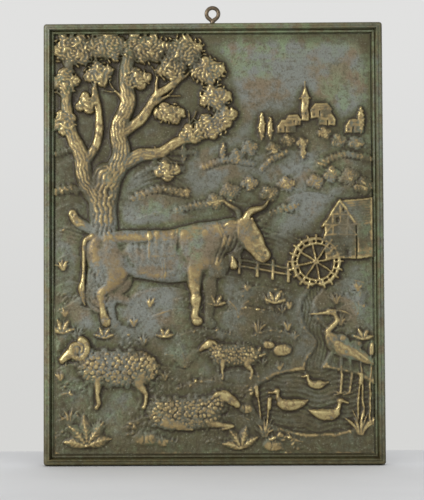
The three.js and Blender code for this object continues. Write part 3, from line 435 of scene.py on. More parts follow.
def foliage(x, z, half_wide, half_tall, base, height, seed, lump=3.2):
    """A mass of leaves: a dome with lumps on it and round its edge, set all over with small leaves."""
    mass = Figure(base, 0.5)
    mass.oval(x, z, half_wide * 0.86, half_tall * 0.86, height * 0.7)
    lumps = max(4, round((half_wide + half_tall) / 2 / lump * 1.15))
    for n in range(lumps):
        turn = 2 * math.pi * (n + 0.35 * chance(seed + n)) / lumps
        for out, size, lift in [(0.7, 1.5, 0.62), (0.36, 1.25, 0.95)][:1 + n % 2]:
            lump_x, lump_z = x + half_wide * out * math.cos(turn), z + half_tall * out * math.sin(turn)
            mass.oval(lump_x, lump_z, lump * size, lump * size * 0.9, height * lift, turn)
    mass.lay()
    ground = relief.copy()
    leaves = Figure(base, 0.15)
    count = int(half_wide * half_tall / lump ** 2 * 4.2)
    for n in range(count):
        out = math.sqrt((n + 0.5) / count) * 1.08
        turn = n * 2.39996 + seed
        leaf_x, leaf_z = x + half_wide * out * math.cos(turn), z + half_tall * out * math.sin(turn)
        if abs(leaf_x) > FIELD_WIDE / 2 or not 0 < leaf_z < FIELD_TALL:
            continue
        under = ground[round(leaf_z / GRID), round((leaf_x + FIELD_WIDE / 2) / GRID)]
        size = lump * (0.34 + 0.2 * chance(seed + n * 3))
        leaves.base = max(under, base) - 0.1
        leaves.oval(leaf_x, leaf_z, size * 1.4, size * 0.62, 0.45 + 0.13 * height,
                    turn + chance(seed + n * 7) * 2.5)
    leaves.lay()


def hedge(points, radius, base, high, seed):
    """A row of small bushes along a line."""
    line = curve_through(points, 12)
    step = np.concatenate([[0], np.cumsum(np.hypot(*np.diff(line, axis=0).T))])
    for n, place in enumerate(np.arange(0, step[-1], radius * 1.35)):
        x, z = np.interp(place, step, line[:, 0]), np.interp(place, step, line[:, 1])
        half = radius * (0.75 + 0.5 * chance(seed + n))
        foliage(x, z + half * 0.3 * chance(seed + n + 9), half, half * 0.85, base, high, seed + n * 7,
                max(1.2, radius * 0.42))


OAK_LIMBS = [
    [[-92, 128, 14, 2.8], [-92, 146, 12.2, 3.3], [-90, 176, 11.4, 3.4], [-91, 204, 12, 3.4],
     [-88, 226, 12.5, 3.3]],
    [[-98, 136, 7, 2.4], [-107, 127, 4.5, 1.9], [-118, 121, 2.4, 1.2]],
    [[-86, 136, 7, 2.4], [-77, 127, 4.6, 1.9], [-68, 123, 2.4, 1.2]],
    [[-96, 208, 8, 3], [-106, 226, 7.2, 2.7], [-109, 246, 6.4, 2.5], [-118, 266, 5.4, 2.3],
     [-121, 290, 4.6, 2.1], [-119, 318, 3.8, 1.8], [-124, 346, 3, 1.6]],
    [[-86, 222, 9.5, 3.2], [-76, 244, 8.2, 3], [-78, 266, 7.2, 2.8], [-70, 288, 6.4, 2.6],
     [-72, 312, 5.6, 2.3], [-64, 346, 4.6, 2]],
    [[-80, 232, 6.5, 2.8], [-62, 244, 5.6, 2.6], [-44, 246, 4.8, 2.4], [-28, 256, 4, 2.2],
     [-12, 258, 3.2, 1.9]],
    [[-75, 262, 4.8, 2.4], [-58, 276, 4.2, 2.2], [-46, 294, 3.6, 2], [-30, 306, 3, 1.8],
     [-22, 326, 2.4, 1.6]],
    [[-108, 236, 4.5, 2.2], [-96, 254, 3.8, 2], [-94, 276, 3.2, 1.9], [-98, 300, 2.6, 1.7]],
    [[-98, 182, 5, 2.8], [-112, 190, 4.2, 2.6], [-116, 196, 3.8, 2.6]],
]
# Each twig: [x, z, degrees to the right of straight up, length, radius, seed]
OAK_TWIGS = [
    [-28, 256, 20, 16, 2.6, 3], [-12, 258, 70, 14, 2.2, 9], [-46, 246, 125, 13, 2.2, 14],
    [-30, 306, 70, 14, 2, 21], [-70, 288, -40, 14, 2.4, 33], [-46, 294, -10, 14, 2.2, 37],
    [-121, 290, -50, 10, 2, 41], [-98, 300, 20, 12, 1.9, 55], [-119, 318, 35, 12, 2, 61],
    [-50, 286, 60, 15, 2.2, 67],
]
# Each mass of leaves: [x, z, half width, half height, seed]
OAK_LEAVES = [
    [-114, 332, 20, 13, 3], [-86, 335, 18, 12, 5], [-54, 333, 19, 12, 8], [-24, 330, 17, 13, 11],
    [-4, 314, 14, 11, 13], [2, 292, 13, 10, 15], [-3, 268, 15, 9, 17], [-34, 316, 12, 9, 19],
    [-62, 308, 10, 8, 23], [-94, 312, 12, 9, 29], [-122, 306, 11, 10, 31], [-123, 272, 9, 9, 37],
    [-36, 279, 12, 8, 43], [-38, 232, 10, 7, 47], [10, 276, 9, 7, 53], [-18, 262, 9, 6, 59],
    [-104, 288, 8, 7, 63],
]


def oak():
    tree = Figure(1.3, 1.2)
    for points in OAK_LIMBS:
        tree.chain(points, 2.2, 5, bark)
    for x, z, turn, length, radius, seed in OAK_TWIGS:
        branch(tree, x, z, turn, length, radius, 1.8, 1, seed)
    tree.lay()
    for x, z, radius in [(-91, 170, 4.2), (-86, 214, 3.6), (-116, 196, 2.6)]:
        press(x, z, radius, radius * 1.2, -0.9, 0, 3)
        score([[x + radius * math.cos(t), z + 1.25 * radius * math.sin(t)] for t in np.arange(9) * 0.785],
              0.9, -0.5, 3)
    for x, z, half_wide, half_tall, seed in OAK_LEAVES:
        foliage(x, z, half_wide, half_tall, 2, 2.6, seed * 10)


def poplar(x, z, across, height, base, high, seed):
    tree = Figure(base, 0.5)
    tree.chain([
        [x, z, across * 0.15, high * 0.7], [x, z + height * 0.15, across * 0.3, high * 0.8],
        [x, z + height * 0.4, across * 0.5, high], [x, z + height * 0.7, across * 0.36, high * 0.9],
        [x, z + height * 0.97, across * 0.06, high * 0.5],
    ], 2.2)
    tree.lay()
    leaves = Figure(base, 0.2)
    count = int(height * 1.4)
    for n in range(count):
        up = (n + 0.5) / count
        half = across * 0.45 * math.sin(math.pi * min(1, up * 0.8 + 0.15))
        leaf_x = x + (chance(seed + n) - 0.5) * 2 * half
        leaves.oval(leaf_x, z + height * (0.1 + 0.86 * up), 1.2, 0.7, high + 0.35,
                    1.2 * (chance(seed + n * 3) - 0.5))
    leaves.lay()


def dock(x, z, leaves, high):
    """A plant of broad leaves spread from one foot, each with its ribs."""
    for degrees, length, across in leaves:
        turn = math.radians(degrees)
        dx, dz = math.sin(turn), math.cos(turn)
        tip_x, tip_z = math.sin(turn * 1.08), math.cos(turn * 1.08)
        leaf = Figure(2.4, 0.2)
        leaf.chain([
            [x, z, across * 0.12, high * 0.7],
            [x + length * 0.3 * dx, z + length * 0.3 * dz, across * 0.42, high],
            [x + length * 0.6 * dx, z + length * 0.6 * dz, across * 0.5, high * 0.95],
            [x + length * tip_x, z + length * tip_z, across * 0.05, high * 0.6],
        ], 1.6, 5, lambda along, side, radius: 0.22 * np.sin((along - np.abs(side) * radius * 0.9) * 2.2))
        leaf.lay()
        score([[x, z], [x + length * 0.5 * dx, z + length * 0.5 * dz],
               [x + length * 0.92 * tip_x, z + length * 0.92 * tip_z]], 0.8, -0.45, 2.6)


def from_foot(x, z, length, turn):
    return x + length * math.sin(turn), z + length * math.cos(turn)


def tuft(x, z, size, count, base, seed, thick=0.9, high=1.2, spread=46):
    """Blades of grass that fan out from one foot."""
    for n in range(count):
        side = (n + 0.5) / count * 2 - 1
        turn = math.radians(side * spread + (chance(seed + n) - 0.5) * 14)
        length = size * (0.65 + 0.35 * chance(seed + n + 50)) * (1 - 0.25 * abs(side))
        foot = x + side * size * 0.1
        blade = Figure(base + 0.25 * (n % 3), 0.1)
        blade.chain([
            [foot, z, thick * 0.8, high * 0.8],
            [*from_foot(foot, z, length * 0.5, turn * 0.7), thick, high],
            [*from_foot(foot, z, length, turn * 1.15), thick * 0.2, high * 0.5],
        ], 2, 3)
        blade.lay()


def reed(x, z, height, degrees):
    turn = math.radians(degrees)
    tip_x, tip_z = x + height * math.sin(turn), z + height * math.cos(turn)
    bend_x = x + height * 0.5 * math.sin(turn * 0.6)
    stem = Figure(2, 0.2)
    stem.chain([[x, z, 0.8, 1], [bend_x, z + height * 0.5, 0.8, 1.2], [tip_x, tip_z, 0.6, 1.2]], 2, 3)
    stem.chain([[tip_x - 7 * math.sin(turn), tip_z - 7 * math.cos(turn), 1.7, 1.7], [tip_x, tip_z, 1.7, 1.7]],
               3, 1)
    stem.chain([[tip_x, tip_z, 0.5, 1], [tip_x + 3 * math.sin(turn), tip_z + 3 * math.cos(turn), 0.3, 0.6]],
               2, 1)
    stem.lay()


def fern(x, z, length, degrees, base, seed):
    """One arching frond with paired leaflets."""
    turn = math.radians(degrees)
    frond = Figure(base, 0.15)
    stalk = curve_through([
        [x, z], [x + length * 0.5 * math.sin(turn * 0.8), z + length * 0.5 * math.cos(turn * 0.8)],
        [x + length * math.sin(turn * 1.3), z + length * math.cos(turn * 1.3) - length * 0.1],
    ], 9)
    for n, ((ax, az), (bx, bz)) in enumerate(zip(stalk, stalk[1:])):
        frond.chain([[ax, az, 0.55, 1.1], [bx, bz, 0.5, 1.1]], 2, 1)
        lean = math.atan2(bx - ax, bz - az)
        leaflet = length * 0.26 * math.sin(math.pi * (0.18 + 0.8 * n / len(stalk)))
        for side in (-1, 1):
            aim = lean + side * 1.05
            tip = [ax + leaflet * math.sin(aim), az + leaflet * math.cos(aim), 0.25, 0.5]
            frond.chain([[ax, az, 0.6, 0.9], tip], 2, 1)
    frond.lay()


def flower(x, z, height, degrees, base):
    """A daisy on a thin stem with two leaves."""
    turn = math.radians(degrees)
    tip_x, tip_z = x + height * math.sin(turn), z + height * math.cos(turn)
    plant = Figure(base, 0.15)
    plant.chain([[x, z, 0.5, 0.8], [x + height * 0.4 * math.sin(turn * 0.5), z + height * 0.5, 0.5, 0.9],
                 [tip_x, tip_z, 0.45, 0.9]], 2, 3)
    for side in (-1, 1):
        plant.chain([[x, z + height * 0.15, 0.5, 0.7], [x + side * 2.4, z + height * 0.42, 0.8, 0.9],
                     [x + side * 3.4, z + height * 0.6, 0.2, 0.5]], 2, 3)
    for n in range(8):
        aim = n * math.pi / 4
        plant.oval(tip_x + 1.5 * math.cos(aim), tip_z + 1.5 * math.sin(aim), 1.0, 0.55, 1.1, aim)
    plant.oval(tip_x, tip_z, 0.8, 0.8, 1.5)
    plant.lay()


# ---------------------------------------------------------------------------------------------
# Buildings of the pattern: a village with a round tower on the hill, and a water mill with its
# wheel. Walls are flat faces with tooled courses, roofs have rows of tiles.


def house(x, z, across, height, roof, depth, base, high, rise=0.05, facing=1):
    """A gable end at x with the ridge running back to one side; its roof is scored in courses."""
    lift = depth * rise
    half = across / 2

    def face(corners):
        turned = [[x + facing * px, z + pz, ph] for px, pz, ph in corners]
        return turned if facing > 0 else turned[::-1]

    slope = [
        [-across * 0.06, height + roof, high * 1.1], [across * 0.44 + 0.3, height - 0.6, high * 1.22],
        [half + depth + 1, height + lift - 0.6, high * 0.66],
        [depth - across * 0.06 + 1, height + roof + lift, high * 0.52],
    ]
    body = Figure(base, 0.1)
    body.panel(face([
        [half, 0, high], [half + depth, lift, high * 0.45],
        [half + depth, height + lift, high * 0.45], [half, height, high],
    ]), 0.5)
    body.panel(face(slope), 0.6)
    body.panel(face([
        [-half, 0, high], [half, 0, high], [half, height, high], [0, height + roof, high],
        [-half, height, high],
    ]), 0.6)
    body.lay()
    ridge, eave, far_eave, far_ridge = [np.array([x + facing * px, z + pz]) for px, pz, _ in slope]
    courses = max(2, int(np.linalg.norm(ridge - eave) / 2.3))
    for n in range(1, courses):
        t = n / courses
        score([ridge + (eave - ridge) * t, far_ridge + (far_eave - far_ridge) * t], 0.5, 0.28, base + 0.4)
    for n in range(1, int(across / 3.2)):
        wall_x = x - facing * (half - n * 3.2)
        if across < 12:
            press(wall_x, z + height * 0.45, 0.7, 1.1, -0.7, 0, base + 0.4)


def tower(x, z, across, height, cap, base, high):
    body = Figure(base, 0.2)
    strips = 7
    for n in range(strips):
        middle = -1 + 2 * (n + 0.5) / strips
        proud = high * math.sqrt(1 - middle * middle * 0.8)
        left, right = x + across / 2 * (middle - 1 / strips), x + across / 2 * (middle + 1 / strips)
        body.panel([[left, z, proud], [right, z, proud], [right, z + height, proud],
                    [left, z + height, proud]], 0.05)
    eave = across * 0.62
    body.panel([[x - eave, z + height, high * 0.8], [x + eave, z + height, high * 0.8],
                [x, z + height + cap, high * 1.3]], 0.5)
    body.lay()
    rail = Figure(base, 0.2)
    rail.chain([[x - eave, z + height, 0.8, high * 1.25], [x + eave, z + height, 0.8, high * 1.25]], 2, 1)
    rail.chain([[x, z + height + cap - 1, 0.5, high], [x, z + height + cap + 4, 0.4, high * 0.6]], 2, 1)
    rail.lay()
    for up in (0.3, 0.72):
        press(x + 0.4, z + height * up, 0.7, 1.3, -0.9, 0, base + 0.5)


def mill(x, z):
    """The mill house: stone courses, a timbered gable, a door and shuttered windows."""
    house(x, z, 26, 28, 20, 30, 1.6, 2.3, 0.1)
    above = 3.0
    for n in range(1, 6):
        course = z + n * 3.4
        score([[x - 13, course], [x - 4, course + 0.3], [x + 12.5, course]], 0.55, 0.3, above)
        for k in range(6):
            joint = x - 12 + k * 4.6 + (n % 2) * 2.3
            score([[joint, course - 3.2], [joint, course - 0.3]], 0.45, 0.26, above)
    timber = Figure(1.6, 0.15)
    top = 2.3 + 0.45
    beams = [
        ((-13, 20), (13, 20)), ((-13, 28), (13, 28)), ((-6, 20), (-6, 28)), ((6, 20), (6, 28)),
        ((0, 28), (0, 44)), ((-6.5, 28), (-6.5, 37)), ((6.5, 28), (6.5, 37)), ((-12.5, 20.5), (-6.5, 27.5)),
        ((12.5, 20.5), (6.5, 27.5)), ((-6.5, 36.5), (6.5, 36.5)),
    ]
    for (ax, az), (bx, bz) in beams:
        timber.chain([[x + ax, z + az, 0.75, top], [x + bx, z + bz, 0.75, top]], 4, 1)
    timber.chain([[x - 14, z + 27, 1.1, top + 0.5], [x, z + 48.6, 1.1, top + 0.7],
                  [x + 12.6, z + 28.6, 1.1, top + 0.5]], 3, 1)
    timber.lay()
    holes = [(-2, 32, 2.0, 2.6), (6, 6, 3, 5.5), (-9, 12, 1.8, 2.6), (2.6, 40, 1.1, 1.4)]
    for hole_x, hole_z, half, tall in holes:
        press(x + hole_x, z + hole_z, half, tall, -1.5, 0, above)
        edge = [[x + hole_x + half * a, z + hole_z + tall * b]
                for a, b in [(-1, -1), (-1, 1), (1, 1), (1, -1)]]
        for p, q in zip(edge, edge[1:] + edge[:1]):
            score([p, q], 0.5, -0.35, above - 0.6)


def mill_wheel(x, z, radius, base, high):
    wheel = Figure(base, 0.3)
    wheel.ring(x, z, radius, radius * 0.085, high)
    wheel.ring(x, z, radius * 0.8, radius * 0.055, high * 0.9)
    for n in range(8):
        turn = math.pi * n / 4 + 0.2
        end_x, end_z = x + radius * 0.95 * math.cos(turn), z + radius * 0.95 * math.sin(turn)
        wheel.chain([[x, z, radius * 0.05, high * 0.85], [end_x, end_z, radius * 0.045, high * 0.85]], 2, 1)
    for n in range(20):
        cos, sin = math.cos(math.pi * n / 10), math.sin(math.pi * n / 10)
        wheel.chain([
            [x + radius * 0.8 * cos, z + radius * 0.8 * sin, radius * 0.05, high * 1.02],
            [x + radius * 1.16 * cos, z + radius * 1.16 * sin, radius * 0.05, high * 1.02],
        ], 4, 1)
    wheel.oval(x, z, radius * 0.15, radius * 0.15, high * 1.3)
    wheel.lay()
    press(x, z, 1, 1, -0.9)


def fence(points, base, high, pitch=15):
    """Rails on posts, following the ground."""
    rails = Figure(base, 0.3)
    for (ax, az), (bx, bz) in zip(points, points[1:]):
        posts = max(1, round(math.hypot(bx - ax, bz - az) / pitch))
        for lift in (4.5, 9.5):
            rails.chain([[ax - 2, az + lift, 1.1, high * 0.8], [bx + 2, bz + lift, 1.1, high * 0.8]], 3, 1)
        for n in range(posts + 1):
            x, z = ax + (bx - ax) * n / posts, az + (bz - az) * n / posts
            rails.chain([[x, z - 1, 1.5, high], [x + 0.4, z + 13, 1.3, high]], 3, 1)
    rails.lay()


# ---------------------------------------------------------------------------------------------
# Animals of the pattern. Their points are in shares of the height at the withers, facing right:
# [x, z, radius, height]. Muscles are pressed up, and eyes, mouths and hooves are scored.


class Place:
    """Where an animal stands, how big it is and which way it faces."""

    def __init__(self, x, z, size, facing, high, base):
        self.x, self.z, self.size, self.facing = x, z, size, facing
        self.high, self.base = high, base

    def at(self, x, z):
        return [self.x + self.facing * self.size * x, self.z + self.size * z]

    def put(self, points):
        return [self.at(x, z) + [self.size * radius, self.high * height] for x, z, radius, height in points]

    def press(self, x, z, half_wide, half_tall, amount, turn=0.0, above=0.6):
        spot = self.at(x, z)
        press(*spot, self.size * half_wide, self.size * half_tall, amount, turn * self.facing,
              self.base + above)

    def score(self, points, width, depth, above=0.6):
        score([self.at(x, z) for x, z in points], width, depth, self.base + above)

    def eye(self, x, z, half_tall, height, above):
        ball = Figure(self.base + above, 0.3)
        spot = self.at(x, z)
        ball.oval(*spot, self.size * 0.02, self.size * half_tall, self.high * height, -0.5 * self.facing)
        ball.lay()


def limb(root, steps):
    """Points of a leg: each step is [degrees from straight down, length, radius, height]."""
    points = [root]
    x, z = root[:2]
    for degrees, length, radius, height in steps:
        x += length * math.sin(math.radians(degrees))
        z -= length * math.cos(math.radians(degrees))
        points.append([x, z, radius, height])
    return points


# [x, z, radius, mm]: shoulder, elbow, neck above and below, brisket, ribs, loin, hip, thigh, rump, flank
OX_MUSCLES = [
    [[0.24, 0.89, 0.05, 0.5], [0.29, 0.79, 0.1, 1.1], [0.37, 0.67, 0.12, 1.35], [0.365, 0.55, 0.085, 0.9]],
    [[0.2, 0.6, 0.05, 0.3], [0.27, 0.56, 0.055, 0.7], [0.32, 0.5, 0.05, 0.6]],
    [[0.47, 0.88, 0.07, 0.6], [0.59, 0.92, 0.075, 0.8], [0.72, 0.97, 0.06, 0.6]],
    [[0.5, 0.75, 0.07, 0.6], [0.6, 0.81, 0.065, 0.7], [0.7, 0.87, 0.05, 0.5]],
    [[0.44, 0.63, 0.085, 0.7], [0.53, 0.62, 0.07, 0.7], [0.6, 0.66, 0.04, 0.4]],
    [[-0.26, 0.7, 0.1, 0.4], [-0.08, 0.68, 0.15, 0.7], [0.1, 0.68, 0.13, 0.5]],
    [[-0.45, 0.87, 0.05, 0.6], [-0.3, 0.86, 0.05, 0.5], [-0.1, 0.87, 0.04, 0.4]],
    [[-0.5, 0.885, 0.045, 0.8], [-0.53, 0.86, 0.05, 0.8]],
    [[-0.49, 0.82, 0.06, 0.7], [-0.49, 0.7, 0.115, 1.25], [-0.44, 0.57, 0.105, 1.2],
     [-0.46, 0.47, 0.07, 0.6]],
    [[-0.63, 0.83, 0.045, 0.5], [-0.635, 0.71, 0.06, 0.8], [-0.6, 0.57, 0.055, 0.7],
     [-0.54, 0.46, 0.045, 0.4]],
    [[-0.35, 0.64, 0.03, 0.5], [-0.31, 0.56, 0.035, 0.6], [-0.35, 0.49, 0.03, 0.4]],
    [[-0.28, 0.53, 0.05, 0.3], [-0.08, 0.5, 0.05, 0.5], [0.12, 0.5, 0.05, 0.4]],
]


def blanket(beast, corners, stripes):
    """A folded cloth with a bound edge and a coarse weave, lying on an animal's back."""
    corners = np.array([beast.at(x, z) for x, z in corners])
    low, high = corners.min(0), corners.max(0)
    area = window(low[0], high[0], low[1], high[1])
    x, z = X[area], Z[area]
    inside = np.full_like(x, 1e9)
    for (px, pz), (qx, qz) in zip(corners, np.roll(corners, -1, axis=0)):
        side = (qx - px) * (z - pz) - (qz - pz) * (x - px)
        inside = np.minimum(inside, side / math.hypot(qx - px, qz - pz))
    weave = 0.1 * np.sin(x * 3.4 + 0.3 * z) * np.sin(z * 3.4)
    bands = 0.22 * np.cos((x - corners[0][0]) / (high[0] - low[0]) * 2 * math.pi * stripes)
    hem = 0.4 * np.exp(-((inside - 1) / 0.7) ** 2)
    cloth = np.clip(inside / 0.7, 0, 1) * (0.35 + weave + bands * np.clip(inside / 3, 0, 1) + hem)
    relief[area] += cloth * np.clip((relief[area] - beast.base - 1) * 1.5, 0, 1)


def hair(beast, low_x, low_z, high_x, high_z, slope, amount):
    """Fine strokes of hair that lie along the body."""
    first, last = beast.at(low_x, low_z), beast.at(high_x, high_z)
    area = window(min(first[0], last[0]), max(first[0], last[0]), first[1], last[1])
    along = (X[area] + slope * Z[area]) * 0.32
    strokes = sample(mottle(1.5, 71), along, Z[area] - slope * X[area], -FIELD_WIDE / 2, 0, GRID)
    relief[area] += amount * strokes * np.clip((relief[area] - beast.base - 1) * 1.5, 0, 1)


def horn_rings(along, side, radius):
    return 0.16 * np.sin(along * 2.4) * np.clip(1.6 - along * 0.09, 0, 1)


def ox(x, z, size, facing, high, base):
    beast = Place(x, z, size, facing, high, base)
    put = beast.put
    far = Figure(base - 0.1, 1)
    far.chain(put(limb([0.46, 0.54, 0.1, 0.5], [
        [8, 0.22, 0.06, 0.45], [-4, 0.22, 0.04, 0.4], [2, 0.05, 0.044, 0.4], [32, 0.045, 0.048, 0.4]])))
    far.chain(put(limb([-0.38, 0.56, 0.13, 0.5], [
        [-4, 0.14, 0.1, 0.5], [-34, 0.17, 0.052, 0.45], [6, 0.23, 0.038, 0.4], [30, 0.05, 0.05, 0.4]])))
    far.chain(put([[0.79, 1.04, 0.034, 0.5], [0.76, 1.12, 0.03, 0.45], [0.68, 1.17, 0.02, 0.4],
                   [0.63, 1.22, 0.01, 0.3]]))
    far.lay()
    body = Figure(base, 1.6)
    body.chain(put([
        [-0.56, 0.735, 0.18, 0.72], [-0.36, 0.715, 0.215, 0.78], [-0.08, 0.69, 0.245, 0.82],
        [0.18, 0.685, 0.262, 0.82], [0.38, 0.7, 0.25, 0.8]]), 2.3)
    body.chain(put([
        [-0.6, 0.84, 0.085, 0.7], [-0.3, 0.868, 0.07, 0.7], [0.1, 0.86, 0.08, 0.74],
        [0.34, 0.895, 0.105, 0.8], [0.52, 0.9, 0.12, 0.8]]), 2.3)
    body.chain(put([[0.44, 0.7, 0.2, 0.8], [0.54, 0.6, 0.145, 0.72]]))
    body.chain(put([[0.4, 0.8, 0.2, 0.82], [0.56, 0.85, 0.175, 0.82], [0.7, 0.9, 0.15, 0.82],
                    [0.8, 0.94, 0.125, 0.8]]))
    body.chain(put([[0.53, 0.54, 0.085, 0.6], [0.64, 0.61, 0.065, 0.5], [0.74, 0.7, 0.05, 0.5],
                    [0.8, 0.79, 0.045, 0.5]]))
    body.chain(put([[-0.58, 0.76, 0.15, 0.78], [-0.57, 0.62, 0.14, 0.82], [-0.5, 0.52, 0.1, 0.78]]), 2.3)
    body.lay()
    legs = Figure(base + 0.2, 1.6)
    legs.chain(put([
        [0.38, 0.78, 0.1, 0.8], [0.37, 0.66, 0.12, 0.98], [0.34, 0.54, 0.095, 0.96],
        [0.335, 0.42, 0.07, 0.88], [0.35, 0.3, 0.05, 0.8], [0.348, 0.25, 0.056, 0.82],
        [0.345, 0.15, 0.038, 0.72], [0.342, 0.085, 0.042, 0.72], [0.365, 0.045, 0.05, 0.74]]), 2.2)
    legs.chain(put([
        [-0.5, 0.7, 0.15, 0.92], [-0.44, 0.58, 0.145, 1.02], [-0.43, 0.49, 0.11, 0.98],
        [-0.5, 0.39, 0.072, 0.88], [-0.575, 0.315, 0.056, 0.82], [-0.565, 0.22, 0.04, 0.74],
        [-0.55, 0.1, 0.04, 0.74], [-0.525, 0.045, 0.05, 0.74]]), 2.2)
    legs.lay()
    for points in OX_MUSCLES:
        bulge([beast.at(px, pz) + [size * radius, amount] for px, pz, radius, amount in points], base + 1)
    # hollows behind the shoulder, at the flank and before the thigh, then ribs and the folds of the neck
    for px, pz, wide, tall, amount, turn in [
        (0.18, 0.76, 0.035, 0.12, -0.6, 0.15), (-0.36, 0.78, 0.06, 0.045, -0.9, 0.3),
        (-0.31, 0.66, 0.02, 0.07, -0.5, 0.3), (0.345, 0.28, 0.03, 0.03, 0.35, 0),
        (-0.57, 0.33, 0.03, 0.04, 0.35, 0), (-0.555, 0.76, 0.02, 0.1, -0.5, 0.1),
        (0.43, 0.5, 0.03, 0.05, -0.5, 0),
    ]:
        beast.press(px, pz, wide, tall, amount, turn)
    for n, (rib, strength) in enumerate([(-0.27, 0.35), (-0.215, 0.4), (-0.155, 0.25)]):
        beast.score([(rib + 0.01, 0.8), (rib + 0.03, 0.7), (rib + 0.012, 0.58 + 0.01 * n)], 1.3, strength)
    for n in range(5):
        fold_x = 0.55 + n * 0.05
        line = [(fold_x + 0.07, 0.89 - n * 0.012), (fold_x + 0.03, 0.76), (fold_x - 0.03, 0.6 + n * 0.03)]
        beast.score(line, 1.1, 0.5)
        beast.score([(px + 0.022, pz) for px, pz in line], 1.0, -0.4)
    hair(beast, -0.68, 0.4, 0.8, 1.02, 0.25, 0.13)
    blanket(beast, [(-0.11, 0.66), (0.16, 0.67), (0.19, 1.0), (-0.13, 0.98)], 4)
    for n in range(9):
        tassel = -0.1 + 0.031 * n
        beast.score([(tassel, 0.665 + 0.001 * n), (tassel - 0.003, 0.635 + 0.001 * n)], 0.7, -0.5)
    for points in [[(0.02, 0.66), (0.03, 0.55), (0.02, 0.43)], [(0.045, 0.66), (0.055, 0.55), (0.045, 0.43)]]:
        beast.score(points, 0.8, -0.5)
    for points in [[(0.55, 1.02), (0.6, 0.88), (0.655, 0.74), (0.7, 0.66)],
                   [(0.575, 1.03), (0.625, 0.89), (0.68, 0.75), (0.72, 0.68)]]:
        beast.score(points, 0.8, -0.55)
    bell = Figure(base + 1.6, 0.3)
    bell.chain(put([[0.705, 0.67, 0.014, 0.5], [0.71, 0.65, 0.014, 0.5], [0.715, 0.62, 0.03, 0.6],
                    [0.72, 0.58, 0.038, 0.6]]), 2, 3)
    bell.lay()
    head = Figure(base + 0.8, 1)
    head.chain(put([
        [0.83, 0.955, 0.115, 0.95], [0.9, 0.86, 0.098, 0.95], [0.965, 0.765, 0.074, 0.85],
        [1.005, 0.7, 0.07, 0.82], [1.012, 0.68, 0.068, 0.78]]), 2.3)
    head.chain(put([[0.83, 0.865, 0.085, 0.85], [0.91, 0.75, 0.058, 0.75], [0.965, 0.68, 0.05, 0.65]]))
    head.lay()
    beast.press(0.86, 0.86, 0.05, 0.06, 0.35, 0.4, 2)
    beast.press(0.935, 0.83, 0.018, 0.075, -0.4, 0.45, 2)
    beast.press(0.885, 0.925, 0.034, 0.026, -0.7, 0.5, 2)
    beast.press(1.03, 0.705, 0.014, 0.02, -1.0, 0.3, 2)
    beast.score([(1.055, 0.655), (1.0, 0.665), (0.95, 0.7), (0.93, 0.73)], 0.8, 0.6, 2)
    beast.score([(0.855, 0.95), (0.885, 0.962), (0.915, 0.945)], 0.9, -0.5, 2)
    beast.score([(0.97, 0.775), (1.0, 0.76), (1.04, 0.745)], 0.9, -0.3, 2)
    for points in [[(1.03, 0.815), (0.96, 0.785), (0.895, 0.735)], [(0.94, 0.775), (0.87, 0.83), (0.79, 0.9)],
                   [(0.9, 1.01), (0.82, 0.99), (0.77, 0.94), (0.77, 0.86)]]:
        beast.score(points, 0.8, -0.6, 2)
    beast.press(0.945, 0.778, 0.02, 0.02, 0.8, 0, 2)
    beast.eye(0.887, 0.922, 0.014, 0.98, 0.8)
    horn = Figure(base + 1.2, 0.6)
    horn.chain(put([[0.775, 0.985, 0.028, 0.7], [0.7, 0.985, 0.044, 0.78], [0.62, 0.945, 0.03, 0.6],
                    [0.585, 0.92, 0.01, 0.4]]))
    horn.chain(put([
        [0.835, 1.035, 0.04, 0.9], [0.87, 1.1, 0.036, 0.85], [0.95, 1.135, 0.028, 0.7],
        [1.02, 1.16, 0.018, 0.6], [1.06, 1.22, 0.008, 0.5]]), 2, 5, horn_rings)
    horn.lay()
    beast.score([(0.75, 0.985), (0.69, 0.98), (0.63, 0.955)], 1.3, 0.7, 1.6)
    curls = Figure(base + 0.8, 0.2)
    for n in range(14):
        cx, cz = 0.8 + 0.11 * chance(n + 20), 0.975 + 0.085 * chance(n + 40)
        curls.oval(*beast.at(cx, cz), size * 0.022, size * 0.014, high * 1.04 + 0.2 * chance(n),
                   chance(n + 3) * 3)
    curls.lay()
    tail = Figure(base + 0.6, 0.6)
    tail.chain(put([
        [-0.66, 0.875, 0.035, 0.7], [-0.735, 0.82, 0.026, 0.6], [-0.745, 0.62, 0.02, 0.5],
        [-0.75, 0.46, 0.022, 0.5], [-0.765, 0.36, 0.04, 0.7], [-0.745, 0.26, 0.02, 0.5],
        [-0.735, 0.21, 0.008, 0.3]]),
        2, 5, lambda along, side, radius: 0.22 * np.sin(side * 7 + along * 0.5) * (along > size * 0.42))
    tail.lay()
    for hoof_x, hoof_z in [(0.365, 0.072), (-0.53, 0.072)]:
        beast.score([(hoof_x - 0.06, hoof_z), (hoof_x + 0.06, hoof_z - 0.004)], 0.8, 0.5)
        beast.score([(hoof_x + 0.01, hoof_z), (hoof_x + 0.02, 0.0)], 0.6, 0.5)


FLEECE = [(-0.42, 0.66, 0.27, 0.27), (-0.2, 0.67, 0.3, 0.29), (0.1, 0.67, 0.3, 0.295),
          (0.34, 0.68, 0.29, 0.28), (0.5, 0.82, 0.2, 0.2), (0.6, 0.92, 0.15, 0.15)]


